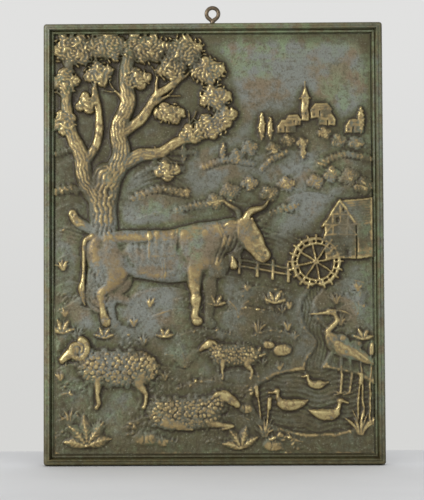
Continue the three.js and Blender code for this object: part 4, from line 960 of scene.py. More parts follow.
def fleece(beast, seed):
    """Wool in packed curls: each lock is a low mound with a spiral cut round its middle."""
    pitch = max(0.088, 2.7 / beast.size)
    centres = []
    n = seed
    for i in range(-10, 12):
        for j in range(-7, 9):
            n += 1
            x = (i + (j % 2) * 0.5) * pitch + (chance(n) - 0.5) * pitch * 0.8
            z = 0.68 + j * pitch * 0.86 + (chance(n + 500) - 0.5) * pitch * 0.75
            off = min(((x - mx) / rx) ** 2 + ((z - mz) / rz) ** 2 for mx, mz, rx, rz in FLEECE)
            if off < 1.1:
                centres.append(beast.at(x, z) + [off, chance(n + 77) * 6.28])
    edge = Figure(beast.base, 0.4)
    lock = beast.size * pitch * 0.62
    for x, z, off, _ in centres:
        if off > 0.62:
            edge.oval(x, z, lock * 1.05, lock * 0.95, beast.high * max(0.3, 1 - off * 0.62), 0)
    edge.lay()
    corners = beast.at(-0.8, 0.3), beast.at(0.85, 1.15)
    area = window(min(c[0] for c in corners), max(c[0] for c in corners), corners[0][1], corners[1][1])
    x, z = X[area], Z[area]
    first, second = np.full_like(x, 1e9), np.full_like(x, 1e9)
    turn = np.zeros_like(x)
    for cx, cz, _, start in centres:
        off = np.hypot(x - cx, z - cz)
        nearer = off < first
        second = np.where(nearer, first, np.minimum(second, off))
        turn = np.where(nearer, np.arctan2(z - cz, x - cx) + start, turn)
        first = np.where(nearer, off, first)
    reach = lock * 1.15
    mound = 0.27 * lock * np.sqrt(np.maximum(1 - (first / reach) ** 2, 0))
    spiral = 0.3 * np.sin(turn + first * 2.5) * np.clip(first / 0.8, 0, 1)
    crease = 0.5 * np.exp(-((second - first) / 0.55) ** 2)
    on_wool = np.clip((relief[area] - beast.base - 0.5) * 1.2, 0, 1)
    on_wool *= np.clip((reach * 1.25 - first) * 1.5, 0, 1)
    relief[area] += on_wool * (mound + spiral - crease - 0.2)


def ram_horn():
    points = []
    for t in np.linspace(0, 1, 22):
        turn = 1.9 + 1.3 * 2 * math.pi * t
        radius = 0.175 * (1 - 0.6 * t)
        x, z = 0.63 + radius * math.cos(turn), 0.975 + radius * math.sin(turn) * 0.95
        points.append([x, z, 0.062 * (1 - 0.6 * t), 1.1 - 0.2 * t])
    return points


def sheep(x, z, size, facing, high, base, horned=False, lying=False, seed=1):
    beast = Place(x, z, size, facing, high, base)
    put = beast.put
    if not lying:
        far = Figure(base - 0.4, 0.8)
        for root, steps in [
            ([0.4, 0.42, 0.08, 0.5], [[6, 0.2, 0.042, 0.45], [-4, 0.17, 0.032, 0.4], [30, 0.045, 0.04, 0.4]]),
            ([-0.34, 0.42, 0.09, 0.5],
             [[-16, 0.2, 0.046, 0.45], [8, 0.18, 0.032, 0.4], [30, 0.045, 0.04, 0.4]]),
        ]:
            far.chain(put(limb(root, steps)))
        far.lay()
    body = Figure(base, 1.4)
    body.chain(put([[-0.44, 0.66, 0.26, 0.9], [0, 0.66, 0.295, 1], [0.34, 0.68, 0.28, 0.95]]), 2.3)
    body.chain(put([[0.36, 0.72, 0.24, 0.95], [0.5, 0.84, 0.18, 0.92], [0.6, 0.92, 0.14, 0.9]]))
    body.lay()
    fleece(beast, seed)
    head = Figure(base + 0.9, 0.6)
    head.chain(put([[0.66, 0.98, 0.105, 0.95], [0.77, 0.905, 0.088, 0.92], [0.86, 0.835, 0.062, 0.85],
                    [0.885, 0.81, 0.058, 0.8]]), 2.2)
    head.lay()
    beast.press(0.745, 0.955, 0.03, 0.024, -0.6, 0.6, 1.8)
    beast.press(0.905, 0.83, 0.014, 0.02, -0.6, 0.3, 1.8)
    beast.score([(0.93, 0.785), (0.88, 0.79), (0.84, 0.815)], 0.6, 0.5, 1.8)
    beast.eye(0.745, 0.953, 0.015, 0.97, 0.9)
    horn = Figure(base + 1.4, 0.5)
    if horned:
        horn.chain(put(ram_horn()), 2, 2, lambda along, side, radius: 0.2 * np.sin(along * 2.3))
    else:
        horn.chain(put([[0.61, 1.035, 0.03, 0.8], [0.53, 1.005, 0.045, 0.8], [0.46, 0.955, 0.025, 0.5],
                        [0.44, 0.93, 0.01, 0.4]]))
    horn.lay()
    if not horned:
        beast.score([(0.59, 1.03), (0.53, 1.0), (0.47, 0.96)], 0.8, 0.5, 2)
    legs = Figure(base + 0.3, 0.9)
    if lying:
        legs.chain(put([[0.4, 0.5, 0.1, 0.85], [0.6, 0.46, 0.055, 0.8], [0.76, 0.44, 0.045, 0.7],
                        [0.8, 0.425, 0.03, 0.7], [0.64, 0.385, 0.034, 0.7]]))
        legs.chain(put([[-0.36, 0.52, 0.15, 0.98], [-0.14, 0.46, 0.1, 0.95], [-0.02, 0.42, 0.06, 0.8],
                        [-0.16, 0.395, 0.042, 0.75], [0.08, 0.385, 0.034, 0.7]]))
    else:
        legs.chain(put([[0.3, 0.5, 0.1, 0.9], [0.3, 0.36, 0.065, 0.85], [0.31, 0.24, 0.04, 0.75],
                        [0.305, 0.2, 0.042, 0.75], [0.3, 0.08, 0.034, 0.7], [0.325, 0.035, 0.042, 0.7]]))
        legs.chain(put([[-0.4, 0.54, 0.14, 0.95], [-0.37, 0.42, 0.1, 0.9], [-0.45, 0.3, 0.055, 0.8],
                        [-0.49, 0.24, 0.046, 0.75], [-0.475, 0.1, 0.034, 0.7], [-0.45, 0.035, 0.042, 0.7]]))
    legs.lay()
    if not lying:
        for hoof in (0.325, -0.45):
            beast.score([(hoof - 0.05, 0.065), (hoof + 0.05, 0.06)], 0.6, 0.4, 0.9)


def duck(x, z, size, facing, base, high):
    bird = Place(x, z, size, facing, high, base)
    put = bird.put
    body = Figure(base, 0.7)
    body.chain(put([[-0.66, 0.4, 0.03, 0.5], [-0.46, 0.3, 0.12, 0.8], [-0.15, 0.24, 0.21, 1],
                    [0.16, 0.24, 0.215, 1], [0.36, 0.3, 0.14, 0.95]]), 2.2)
    body.chain(put([[0.34, 0.34, 0.13, 0.95], [0.45, 0.5, 0.082, 0.9], [0.46, 0.64, 0.072, 0.9]]))
    body.oval(*bird.at(0.5, 0.74), size * 0.125, size * 0.1, high * 1.05)
    body.lay()
    wing = Figure(base + 0.3, 0.3)
    wing.chain(put([[0.6, 0.72, 0.052, 0.7], [0.7, 0.69, 0.04, 0.6], [0.8, 0.675, 0.036, 0.5]]))
    wing.chain(put([[-0.4, 0.34, 0.05, 0.9], [-0.12, 0.3, 0.13, 1.12], [0.14, 0.28, 0.12, 1.1]]), 2.2, 5,
               lambda along, side, radius: 0.16 * np.sin(along * 2.4 + np.abs(side) * 3))
    wing.lay()
    bird.press(0.53, 0.76, 0.02, 0.02, -0.6, 0, 1)
    bird.score([(0.4, 0.56), (0.47, 0.545), (0.53, 0.56)], 0.5, 0.35, 1)


def heron(x, z, size, facing, base, high):
    bird = Place(x, z, size, facing, high, base)
    put = bird.put
    legs = Figure(base, 0.3)
    legs.chain(put([[0, 0.46, 0.022, 0.5], [0, 0.25, 0.016, 0.5], [-0.01, 0.22, 0.02, 0.5],
                    [0.01, 0, 0.014, 0.5]]), 2, 1)
    legs.chain(put([[-0.09, 0.46, 0.022, 0.5], [-0.12, 0.27, 0.015, 0.45], [-0.125, 0.24, 0.02, 0.45],
                    [-0.09, 0, 0.014, 0.45]]), 2, 1)
    for foot in (0.01, -0.09):
        for toe_x, toe_z in [(0.07, -0.015), (0.05, 0.02), (-0.04, 0.01)]:
            legs.chain(put([[foot, 0.0, 0.012, 0.45], [foot + toe_x, toe_z, 0.008, 0.35]]), 2, 1)
    legs.lay()
    body = Figure(base, 0.8)
    body.chain(put([[-0.4, 0.36, 0.02, 0.4], [-0.28, 0.42, 0.06, 0.8], [-0.1, 0.5, 0.105, 1],
                    [0.05, 0.58, 0.11, 1], [0.13, 0.66, 0.07, 0.95]]), 2.2)
    body.chain(put([[0.12, 0.64, 0.06, 0.95], [0.16, 0.72, 0.042, 0.9], [0.1, 0.79, 0.036, 0.9],
                    [0.045, 0.85, 0.034, 0.9], [0.06, 0.91, 0.032, 0.9], [0.1, 0.945, 0.034, 0.9]]))
    body.chain(put([[0.08, 0.95, 0.042, 0.95], [0.14, 0.955, 0.038, 0.9], [0.19, 0.95, 0.02, 0.75],
                    [0.36, 0.925, 0.008, 0.45]]))
    body.lay()
    feathers = Figure(base + 0.5, 0.3)
    feathers.chain(put([[0.08, 0.975, 0.012, 0.7], [-0.03, 0.965, 0.01, 0.6], [-0.11, 0.93, 0.004, 0.4]]))
    feathers.chain(put([[-0.42, 0.34, 0.02, 0.4], [-0.24, 0.42, 0.05, 0.9], [-0.05, 0.52, 0.075, 1.1],
                        [0.04, 0.58, 0.06, 1.05]]),
                   2.2, 5, lambda along, side, radius: 0.2 * np.sin(side * 6 + along * 0.3))
    feathers.lay()
    for n in range(5):
        bird.score([(0.15 - n * 0.012, 0.66 - n * 0.02), (0.14 - n * 0.02, 0.58 - n * 0.03),
                    (0.1 - n * 0.02, 0.52 - n * 0.03)], 0.6, 0.3, 1)
    bird.press(0.125, 0.96, 0.01, 0.008, -0.6, 0, 1)


# ---------------------------------------------------------------------------------------------
# The scene laid up on the field, from the sky forward. The whole pattern is then softened a
# little, as sand casting and long handling soften it, and given the tool marks of the modeller.

bank(0.6, far_hill, 4, 0.35)
for spot in [(56, 262, 7, 6, 5, 9, 1), (84, 274, 8, 7, 6, 10, 1), (98, 268, 7, 5, 5, 8, -1),
             (70, 268, 6, 5, 4, 7, -1), (112, 262, 7, 6, 5, 9, 1)]:
    house(*spot[:6], 0.75, 1.3, 0.05, spot[6])
tower(76, 272, 6.5, 19, 10, 0.9, 1.5)
for x, z, across, height, seed in [(40, 256, 6, 24, 7), (47, 257, 5, 19, 17), (122, 262, 6, 22, 27)]:
    poplar(x, z, across, height, 0.7, 1.5, seed)
bank(0.95, middle_hill, 4, 0.35)
for n, (x, z, radius) in enumerate([(30, 250, 7), (62, 256, 5), (92, 262, 5), (104, 256, 6), (20, 244, 6),
                                    (118, 254, 6), (74, 254, 4.5), (50, 250, 5)]):
    foliage(x, z, radius, radius * 0.85, 0.9, 1.3, n * 13 + 5, 1.9)
for line in [[(-130, 236), (-112, 242), (-98, 238)], [(-70, 236), (-40, 243), (-12, 237)],
             [(-12, 228), (16, 236), (44, 230)], [(34, 242), (60, 248), (88, 243)],
             [(70, 234), (96, 242), (128, 236)], [(-66, 222), (-44, 230), (-20, 226)],
             [(96, 250), (112, 255), (130, 251)]]:
    fold(line, 0.55, 5, 0.25)
for line, radius, base, high, seed in [
    ([(-8, 234), (10, 240), (34, 236)], 2.6, 0.9, 1.1, 101),
    ([(40, 232), (48, 240), (62, 246)], 2.3, 0.9, 1.1, 131),
    ([(88, 236), (108, 244), (130, 240)], 2.7, 0.9, 1.1, 161),
    ([(-66, 240), (-40, 247), (-14, 246)], 2.4, 0.8, 1.0, 191),
    ([(-130, 246), (-116, 249), (-102, 246)], 2.4, 0.8, 1.0, 211),
    ([(-60, 228), (-44, 236), (-26, 232)], 3.0, 0.9, 1.1, 231),
]:
    hedge(line, radius, base, high, seed)
for x, z, across, height, seed in [
    (-24, 238, 5, 17, 37), (8, 240, 4.5, 15, 47), (74, 240, 5, 16, 57), (-48, 234, 5, 18, 67),
]:
    poplar(x, z, across, height, 0.9, 1.3, seed)
furrows((76, 196), 34, 3.4, 4, 34, 1.0, 0.7)
furrows((-44, 196), 26, 3.2, 4, 44, 1.0, 0.7)
grass(420, 204, 252, middle_hill, 11, 2.2, 0.42, 0.4)
bank(1.3, near_hill, 5, 0.45)
for n, (x, z, radius) in enumerate([(14, 214, 8), (30, 221, 6), (46, 212, 7), (60, 220, 6.5), (2, 206, 7),
                                    (112, 226, 8), (124, 218, 8), (84, 222, 6), (98, 228, 6)]):
    foliage(x, z, radius, radius * 0.85, 1.2, 1.6, n * 17 + 3, 2.2)
for line in [[(-130, 200), (-116, 206), (-106, 202)], [(-130, 180), (-116, 187), (-104, 183)],
             [(-130, 158), (-118, 163), (-106, 159)], [(-70, 204), (-46, 212), (-18, 206)],
             [(-68, 190), (-40, 198), (-8, 192)], [(-16, 200), (10, 207), (38, 200)],
             [(30, 190), (52, 197), (78, 190)], [(0, 184), (26, 190), (50, 184)],
             [(34, 174), (54, 180), (74, 172)], [(56, 206), (78, 213), (104, 207)],
             [(96, 214), (114, 219), (130, 215)]]:
    fold(line, 0.75, 6, 0.35)
for line, radius, high, seed in [
    ([(-30, 198), (-16, 202), (0, 203)], 3.0, 1.3, 301), ([(38, 186), (50, 196), (70, 202)], 3.1, 1.3, 331),
    ([(-66, 208), (-44, 216), (-22, 212)], 3.4, 1.4, 361),
    ([(-130, 214), (-118, 217), (-108, 214)], 3.4, 1.4, 391),
]:
    hedge(line, radius, 1.2, high, seed)
furrows((30, 130), 44, 4.2, 5, 40, 0.9, 1.1)
furrows((-130, 150), 30, 4.4, 4, 60, 0.8, 1.1)
grass(620, 130, 210, near_hill, 1011, 2.8, 0.5, 0.5)
mill(104, 158)
bank(1.8, meadow, 7, 0.6)
for line in [[(-130, 136), (-116, 141), (-104, 137)], [(-130, 116), (-116, 122), (-98, 117)],
             [(-70, 128), (-40, 136), (-8, 129)], [(-20, 140), (4, 146), (30, 140)],
             [(14, 128), (38, 136), (66, 128)], [(-56, 110), (-28, 118), (4, 111)],
             [(0, 112), (28, 119), (60, 111)], [(-36, 94), (-8, 101), (24, 94)],
             [(-96, 98), (-80, 104), (-60, 99)], [(28, 94), (48, 101), (70, 94)],
             [(96, 136), (112, 142), (130, 136)], [(98, 116), (114, 122), (130, 117)],
             [(-130, 94), (-118, 99), (-106, 95)], [(-14, 80), (10, 87), (34, 80)]]:
    fold(line, 0.85, 6.5, 0.4)
grass(900, 66, 150, meadow, 2011, 3.2, 0.52, 0.55)
for x, z, spread, count in [(-120, 128, 10, 26), (-20, 124, 14, 34), (30, 120, 16, 40), (56, 132, 10, 24),
                            (-6, 98, 14, 36), (-70, 92, 12, 30), (46, 96, 14, 34), (112, 128, 14, 34),
                            (110, 104, 14, 30)]:
    pebbles(x, z, spread, count, round(x) + 700)
fence([(6, 150), (36, 146), (61, 141)], 1.7, 1.6)
mill_wheel(84, 156, 19, 2.2, 2)
bank(2.3, foreground, 7, 0.7)
for line in [[(-130, 68), (-116, 73), (-98, 68)], [(-130, 46), (-120, 50), (-112, 46)],
             [(-66, 64), (-44, 71), (-16, 65)], [(-34, 52), (-6, 60), (24, 53)],
             [(-56, 36), (-30, 43), (0, 37)], [(-8, 24), (14, 31), (36, 25)],
             [(-74, 24), (-52, 30), (-30, 24)], [(-130, 26), (-116, 31), (-100, 26)],
             [(-70, 8), (-50, 13), (-26, 8)], [(40, 10), (56, 14), (74, 9)], [(0, 62), (20, 68), (40, 60)]]:
    fold(line, 0.9, 7, 0.45, 1.5)
grass(900, 2, 72, foreground, 3011, 3.8, 0.58, 0.6)
for x, z, spread, count in [(-116, 54, 12, 30), (-40, 56, 14, 36), (8, 44, 16, 40), (-60, 20, 14, 36),
                            (-14, 60, 10, 24), (30, 50, 10, 26), (-120, 14, 12, 30), (60, 8, 16, 30),
                            (0, 14, 12, 28)]:
    pebbles(x, z, spread, count, round(x) + 900, 1.3)
oak()
cut_water(1.15, 0.7)
for x, z, size in [(71, 22, 4.6), (108, 20, 4), (49, 45, 3.6), (62, 56, 3), (104, 58, 3), (116, 42, 3.4),
                   (86, 38, 3)]:
    lily_pad(x, z, size)
for n, (x, z, size, count) in enumerate([
    (-90, 66, 10, 7), (-66, 104, 10, 7), (-14, 112, 11, 7), (-52, 120, 10, 7), (62, 118, 9, 7),
    (28, 132, 10, 7), (-6, 22, 9, 7), (-48, 40, 10, 7), (54, 68, 9, 7), (118, 132, 11, 7), (-122, 112, 10, 7),
    (66, 92, 9, 5), (-112, 92, 14, 7), (-58, 88, 12, 7), (6, 92, 12, 7), (36, 98, 14, 9), (-118, 24, 16, 9),
    (-40, 60, 11, 7), (60, 100, 12, 7), (104, 104, 13, 7), (-96, 16, 14, 9), (-4, 40, 10, 7),
    (-126, 60, 12, 7), (100, 122, 12, 7), (-4, 128, 10, 7), (44, 122, 12, 7), (-124, 150, 12, 7),
    (-70, 78, 9, 5), (24, 84, 9, 5),
]):
    tuft(x, z, size, count, 2.1 if z < 66 else 1.7, n * 31)
for x, z, length, degrees in [(-24, 70, 20, -40), (-24, 70, 22, -8), (-24, 70, 20, 30), (118, 112, 22, -30),
                              (118, 112, 24, 5), (20, 110, 18, -20), (20, 110, 18, 22), (-128, 84, 20, 25)]:
    fern(x, z, length, degrees, 2.0, round(x))
for x, z, height, degrees in [(-60, 22, 15, 8), (-66, 20, 12, -12), (56, 112, 13, 6), (50, 108, 10, -14),
                              (-108, 66, 11, 10), (2, 8, 11, -6), (40, 70, 11, 8)]:
    flower(x, z, height, degrees, 2.1)
ox(-44, 104, 84, 1, 4, 1.9)
sheep(-80, 36, 50, -1, 3, 2.2, horned=True, seed=11)
sheep(-22, 2, 46, 1, 2.8, 2.4, lying=True, seed=400)
sheep(16, 60, 30, -1, 2.2, 2.1, seed=900)
duck(62, 34, 22, -1, 1.6, 2.6)
duck(92, 26, 22, 1, 1.7, 2.6)
duck(84, 52, 15, -1, 1.5, 2)
heron(104, 48, 70, -1, 1.6, 2.6)
for x, z, height, degrees in [(122, 30, 54, -3), (117, 22, 42, 4), (127, 26, 62, 2), (38, 20, 34, -6),
                              (43, 16, 28, 5)]:
    reed(x, z, height, degrees)
tuft(41, 13, 18, 9, 2.2, 811)
tuft(119, 15, 22, 9, 2.2, 831)
dock(-104, 6, [(-75, 20, 9), (-38, 24, 11), (-5, 26, 11), (32, 24, 11), (68, 21, 9)], 2)
dock(22, 4, [(-70, 16, 7), (-30, 19, 8), (12, 19, 8), (52, 17, 7)], 1.8)
for x, z, size in [(-124, 98, 11), (-62, 70, 10), (34, 78, 9), (2, 120, 9), (50, 122, 9), (-90, 94, 9),
                   (-40, 94, 8), (122, 92, 9)]:
    dock(x, z, [(-66, size, size * 0.4), (-22, size * 1.15, size * 0.45),
                (24, size * 1.1, size * 0.45), (66, size, size * 0.4)], 1.2)
for n, (x, z, half_wide, half_tall) in enumerate([
    (-56, 12, 11, 6), (-42, 9, 6, 4), (48, 6, 9, 5), (26, 36, 6, 4), (-112, 84, 7, 4), (56, 84, 8, 5),
    (45, 88, 5, 3.5), (103, 92, 8, 5), (116, 88, 6, 4),
]):
    stone(x, z, half_wide, half_tall, 1.9, n * 5)


def soften(heights, reach):
    """A Gaussian blur, 'reach' in grid steps."""
    radius = int(3 * reach) + 1
    weights = np.exp(-0.5 * (np.arange(-radius, radius + 1) / reach) ** 2)
    weights /= weights.sum()
    wide = np.pad(heights, radius, mode="edge")
    rows, columns = heights.shape
    across = sum(w * wide[:, k:k + columns] for k, w in enumerate(weights))
    return sum(w * across[k:k + rows] for k, w in enumerate(weights))


PROUD = 5.9                   # what stands higher than this is pressed into the next 0.75 mm
SWAY = 0.45                   # how far the modeller's hand wanders from a true line
sway = SWAY * mottle(6, 1), SWAY * mottle(6, 2)
relief = sample(relief, X + sway[0], Z + sway[1], -FIELD_WIDE / 2, 0, GRID)
relief = soften(relief, 0.7)
relief += 0.10 * mottle(22, 6) + 0.08 * mottle(9, 3) + 0.08 * mottle(4, 4) + 0.07 * mottle(2, 5)
relief -= relief.min()
relief = np.where(relief > PROUD, PROUD + 0.75 * np.tanh((relief - PROUD) / 1.1), relief)

# ---------------------------------------------------------------------------------------------
# THE CASTING. One piece of cast brass: a moulded frame round the field, plain edges, and a back
# hollowed by 3 mm inside a flat rim. The moulding's section runs from the outer edge inward.

MOULDING = np.array([
    (0, 6.6), (0.35, 7.6), (0.7, 8.4), (2, 9.3), (3.2, 9.1), (4.3, 10.4), (5.1, 10.4), (5.7, 8.0), (6.3, 6.9),
    (7, 7.8), (8.3, 7.6), (8.8, 5.4), (9.7, 5.4)])                 # (in from the edge, above the back)
FRAME_LINES = [0, 0.35, 0.7, 1.3, 2, 2.6, 3.2, 3.7, 4.1, 4.4, 4.75, 5.1, 5.35, 5.6, 5.9, 6.3, 6.6, 7,
               7.4, 7.9, 8.3, 8.5, 8.8, 9.1, 9.4, 9.7]
BACK_LINES = [0, 0.35, 3, 6, 9, 12, 12.3, 13, 15]
BACK_STEP = 5
SIDE_LEVELS = (0.35, 2.0, 4.2, 5.9)     # rings round the plain sides, above the back
FILE_MARKS = 0.12             # how far filing strays from each of them
GROUND = 6.0                  # field above the back
CORNER = 2.4                  # rounding of the outer corners
EASE = 0.3                    # filed off the back's outer edge
RIM, SLOPE, HOLLOW = 12.0, 1.0, 3.0
SAND = 0.3                    # roughness that the sand leaves in the hollow
RIM_SAND = 0.04
SHARP = 52                    # degrees between two faces that read as an edge
MOST_TRIANGLES = 195000
MAP_LEFT, MAP_LOW = -WIDE / 2, -BORDER
MAP_X, MAP_Z = np.meshgrid(np.arange(MAP_LEFT, WIDE / 2 + 0.1, GRID),
                           np.arange(MAP_LOW, TALL - BORDER + 0.1, GRID))
cast_waves = sum(amount * mottle(spacing, seed, MAP_X.shape)
                 for amount, spacing, seed in [(0.10, 34, 41), (0.07, 11, 42), (0.04, 3, 43)])


def inward(x, z):
    """Distance in from the nearest outer edge."""
    return np.minimum(WIDE / 2 - np.abs(x), TALL / 2 - np.abs(z - FIELD_TALL / 2))


def front_height(x, z):
    """Height above the back. Tall relief at the field's edge runs on across the groove."""
    edge = inward(x, z)
    field = GROUND + sample(relief, x, z, -FIELD_WIDE / 2, 0, GRID)
    moulding = np.interp(edge, MOULDING[:, 0], MOULDING[:, 1])
    moulding += sample(cast_waves, x, z, MAP_LEFT, MAP_LOW, GRID) * np.clip(edge / 1.5, 0, 1)
    runs_on = np.clip((field - 7.4) / 0.8, 0, 1) * np.clip((edge - 8.2) / 0.5, 0, 1)
    moulding = moulding * (1 - runs_on) + np.minimum(field, 7.7) * runs_on
    return np.where(edge < BORDER - 0.01, moulding, field)


def round_corners(x, z):
    """Bends the rings of the grid round the corners of the casting."""
    flat_x, flat_z = WIDE / 2 - CORNER, TALL / 2 - CORNER
    u, v = np.abs(x) - flat_x, np.abs(z - FIELD_TALL / 2) - flat_z
    corner = (u > 0) & (v > 0)
    scale = np.where(corner, np.maximum(u, v) / np.maximum(np.hypot(u, v), 1e-9), 1)
    round_x = np.sign(x) * (flat_x + u * scale)
    round_z = np.sign(z - FIELD_TALL / 2) * (flat_z + v * scale) + FIELD_TALL / 2
    return np.where(corner, round_x, x), np.where(corner, round_z, z)


def grid_lines(size, lines, step):
    """Places from 0 to size: close lines along both edges and even steps between them."""
    lines = np.array(lines)
    first = lines[-1] + (lines[-1] - lines[-2])
    middle = np.linspace(first, size - first, round((size - 2 * first) / step) + 1)
    return np.concatenate([lines, middle, (size - lines)[::-1]])


def grid_triangles(x_lines, z_lines):
    """Two triangles for each cell, cut along the mitres in the corners."""
    columns, rows = len(x_lines), len(z_lines)
    index = np.arange(columns * rows).reshape(rows, columns)
    a, b, c, d = index[:-1, :-1], index[:-1, 1:], index[1:, 1:], index[1:, :-1]
    right = (x_lines[:-1] + x_lines[1:])[None, :] > 0
    upper = (z_lines[:-1] + z_lines[1:])[:, None] > FIELD_TALL
    rising = (right == upper)[..., None]
    first = np.where(rising, np.stack([a, b, c], -1), np.stack([a, b, d], -1))
    second = np.where(rising, np.stack([a, c, d], -1), np.stack([b, c, d], -1))
    return np.concatenate([first.reshape(-1, 3), second.reshape(-1, 3)])


def rim_of(x_lines, z_lines):
    """Indices of a grid's outer points, anticlockwise, and how far along the edge each one is."""
    columns, rows = len(x_lines), len(z_lines)
    index = np.arange(columns * rows).reshape(rows, columns)
    ring = np.concatenate([index[0, :-1], index[:-1, -1], index[-1, :0:-1], index[:0:-1, 0]])
    across, up = np.diff(x_lines), np.diff(z_lines)
    steps = np.concatenate([across, up, across[::-1], up[::-1]])
    return ring, np.concatenate([[0], np.cumsum(steps)])


def join_rings(ring_a, along_a, ring_b, along_b):
    """Triangles that close the gap between two rings with different numbers of points."""
    triangles, i, j = [], 0, 0
    while i < len(ring_a) or j < len(ring_b):
        a, b = ring_a[i % len(ring_a)], ring_b[j % len(ring_b)]
        if j == len(ring_b) or (i < len(ring_a) and along_a[i + 1] <= along_b[j + 1]):
            triangles.append((a, ring_a[(i + 1) % len(ring_a)], b))
            i += 1
        else:
            triangles.append((a, ring_b[(j + 1) % len(ring_b)], b))
            j += 1
    return np.array(triangles)


def mesh_from(name, points, triangles):
    """A mesh from points in millimetres."""
    mesh = bpy.data.meshes.new(name)
    mesh.vertices.add(len(points))
    mesh.vertices.foreach_set("co", (points * 0.001).astype(np.float32).ravel())
    mesh.loops.add(3 * len(triangles))
    mesh.loops.foreach_set("vertex_index", triangles.astype(np.int32).ravel())
    mesh.polygons.add(len(triangles))
    mesh.polygons.foreach_set("loop_start", np.arange(0, 3 * len(triangles), 3, dtype=np.int32))
    mesh.update(calc_edges=True)
    return mesh


def points_at(x, z, height):
    """Points in the part's frame: the field's foot is BORDER above the lower edge."""
    return np.stack([x.ravel(), -height.ravel(), z.ravel() + PLATE_LOW.z + BORDER], -1)


front_x = grid_lines(WIDE, FRAME_LINES, GRID) - WIDE / 2
front_z = grid_lines(TALL, FRAME_LINES, GRID) - BORDER
back_x = grid_lines(WIDE, BACK_LINES, BACK_STEP) - WIDE / 2
back_z = grid_lines(TALL, BACK_LINES, BACK_STEP) - BORDER
x, z = np.meshgrid(front_x, front_z)
front_points = points_at(*round_corners(x, z), front_height(x, z))
front_ring, front_along = rim_of(front_x, front_z)

x, z = np.meshgrid(back_x, back_z)
hollow = HOLLOW * np.clip((inward(x, z) - RIM) / SLOPE, 0, 1)
rough = np.random.default_rng(50).uniform(0, 1, x.shape) * np.where(inward(x, z) > RIM, SAND, RIM_SAND)
back_ring, back_along = rim_of(back_x, back_z)
x_in, z_in = round_corners(x, z)
eased = inward(x, z) == 0
x_in = np.where(eased, x_in * (1 - EASE / (WIDE / 2)), x_in)
z_in = np.where(eased, (z_in - FIELD_TALL / 2) * (1 - EASE / (TALL / 2)) + FIELD_TALL / 2, z_in)
back_points = points_at(x_in, z_in, hollow + rough)

edge_x, edge_z = round_corners(x.ravel()[back_ring], z.ravel()[back_ring])
points = [front_points, back_points]
triangles = [grid_triangles(front_x, front_z), grid_triangles(back_x, back_z)[:, ::-1] + len(front_points)]
ring = back_ring + len(front_points)
count = len(front_points) + len(back_points)
file_marks = np.random.default_rng(51)
for height in SIDE_LEVELS:
    level = np.full_like(edge_x, height)
    if height > 1:
        level += file_marks.uniform(-FILE_MARKS, FILE_MARKS, edge_x.shape)
    points.append(points_at(edge_x, edge_z, level))
    next_ring = count + np.arange(len(edge_x))
    triangles.append(join_rings(next_ring, back_along, ring, back_along))
    ring = next_ring
    count += len(edge_x)
triangles.append(join_rings(front_ring, front_along, ring, back_along))

plaque = bpy.data.objects.new("plaque_casting",
                              mesh_from("fine", np.concatenate(points), np.concatenate(triangles)))
bpy.context.scene.collection.objects.link(plaque)
thin = plaque.modifiers.new("thin", "DECIMATE")
thin.ratio = MOST_TRIANGLES / len(plaque.data.polygons)
bpy.context.view_layer.update()
light_mesh = bpy.data.meshes.new_from_object(plaque.evaluated_get(bpy.context.evaluated_depsgraph_get()))
plaque.modifiers.remove(thin)
plaque.data = light_mesh
shape = bmesh.new()
shape.from_mesh(light_mesh)
bmesh.ops.recalc_face_normals(shape, faces=shape.faces)
for edge in shape.edges:
    edge.smooth = len(edge.link_faces) == 2 and edge.calc_face_angle(0) < math.radians(SHARP)
for face in shape.faces:
    face.smooth = True
shape.to_mesh(light_mesh)
shape.free()

# ---------------------------------------------------------------------------------------------
# The patina's places. Handling has rubbed the parts that stand proud back to yellow metal, and
# brown-black oxide stays in every hollow; green verdigris sits where damp lies. Each is kept as
# a value on the casting's points.


def step_up(values, low, high):
    """0 below low, 1 above high and a smooth rise between."""
    t = np.clip((values - low) / (high - low), 0, 1)
    return t * t * (3 - 2 * t)


height = front_height(MAP_X, MAP_Z)
edge = inward(MAP_X, MAP_Z)
fine = height - soften(height, 2)
middle = height - soften(height, 9)
broad = height - soften(height, 30)
masses = np.clip(soften(height, 5) - soften(height, 16), -0.6, 0.6)
on_field = step_up(edge, BORDER - 1.5, BORDER)
proud = step_up(1.9 * fine + 0.28 * middle + 0.9 * masses + 0.1 * broad, 0.33, 1.65)
rubbed = proud * (0.15 + 0.85 * on_field)
hollows = step_up(-(2.8 * fine + 0.35 * middle), 0.15, 1.0) * (0.65 + 0.35 * on_field)
damp = np.exp(-np.abs(edge - BORDER - 3) / 8) + 0.5 * step_up(-middle, 0.1, 0.8)
damp += 0.6 * step_up(soften(mottle(30, 60, height.shape), 4), 0.0, 0.5)
damp = np.clip(damp + 0.3 * (1 - on_field), 0, 1)
# Wax lies thickest in close detail and broad clouds; the foot, its rail and the outer edge are made darker
busy = soften(np.abs(fine), 16)
wax_and_darkening = 0.75 * step_up(busy, 0.05, 0.16) * on_field + 0.55 * np.exp(-np.maximum(MAP_Z, 0) / 34)
wax_and_darkening += 0.5 * soften(mottle(46, 61, height.shape), 6) + 0.25 * soften(mottle(18, 62, height.shape), 4)
wax_and_darkening += 0.6 * step_up(-edge, -2.2, -0.2) - 0.45 * step_up(broad, 0.3, 2.4) * on_field
wax_and_darkening += 0.35 * step_up(-MAP_Z, -9, -5) * (1 - on_field)
wax_and_darkening = np.clip(wax_and_darkening, 0, 1)
mossy = np.clip(step_up(-middle, 0.05, 0.7) + 0.6 * wax_and_darkening + 0.3 * (1 - on_field), 0, 1)

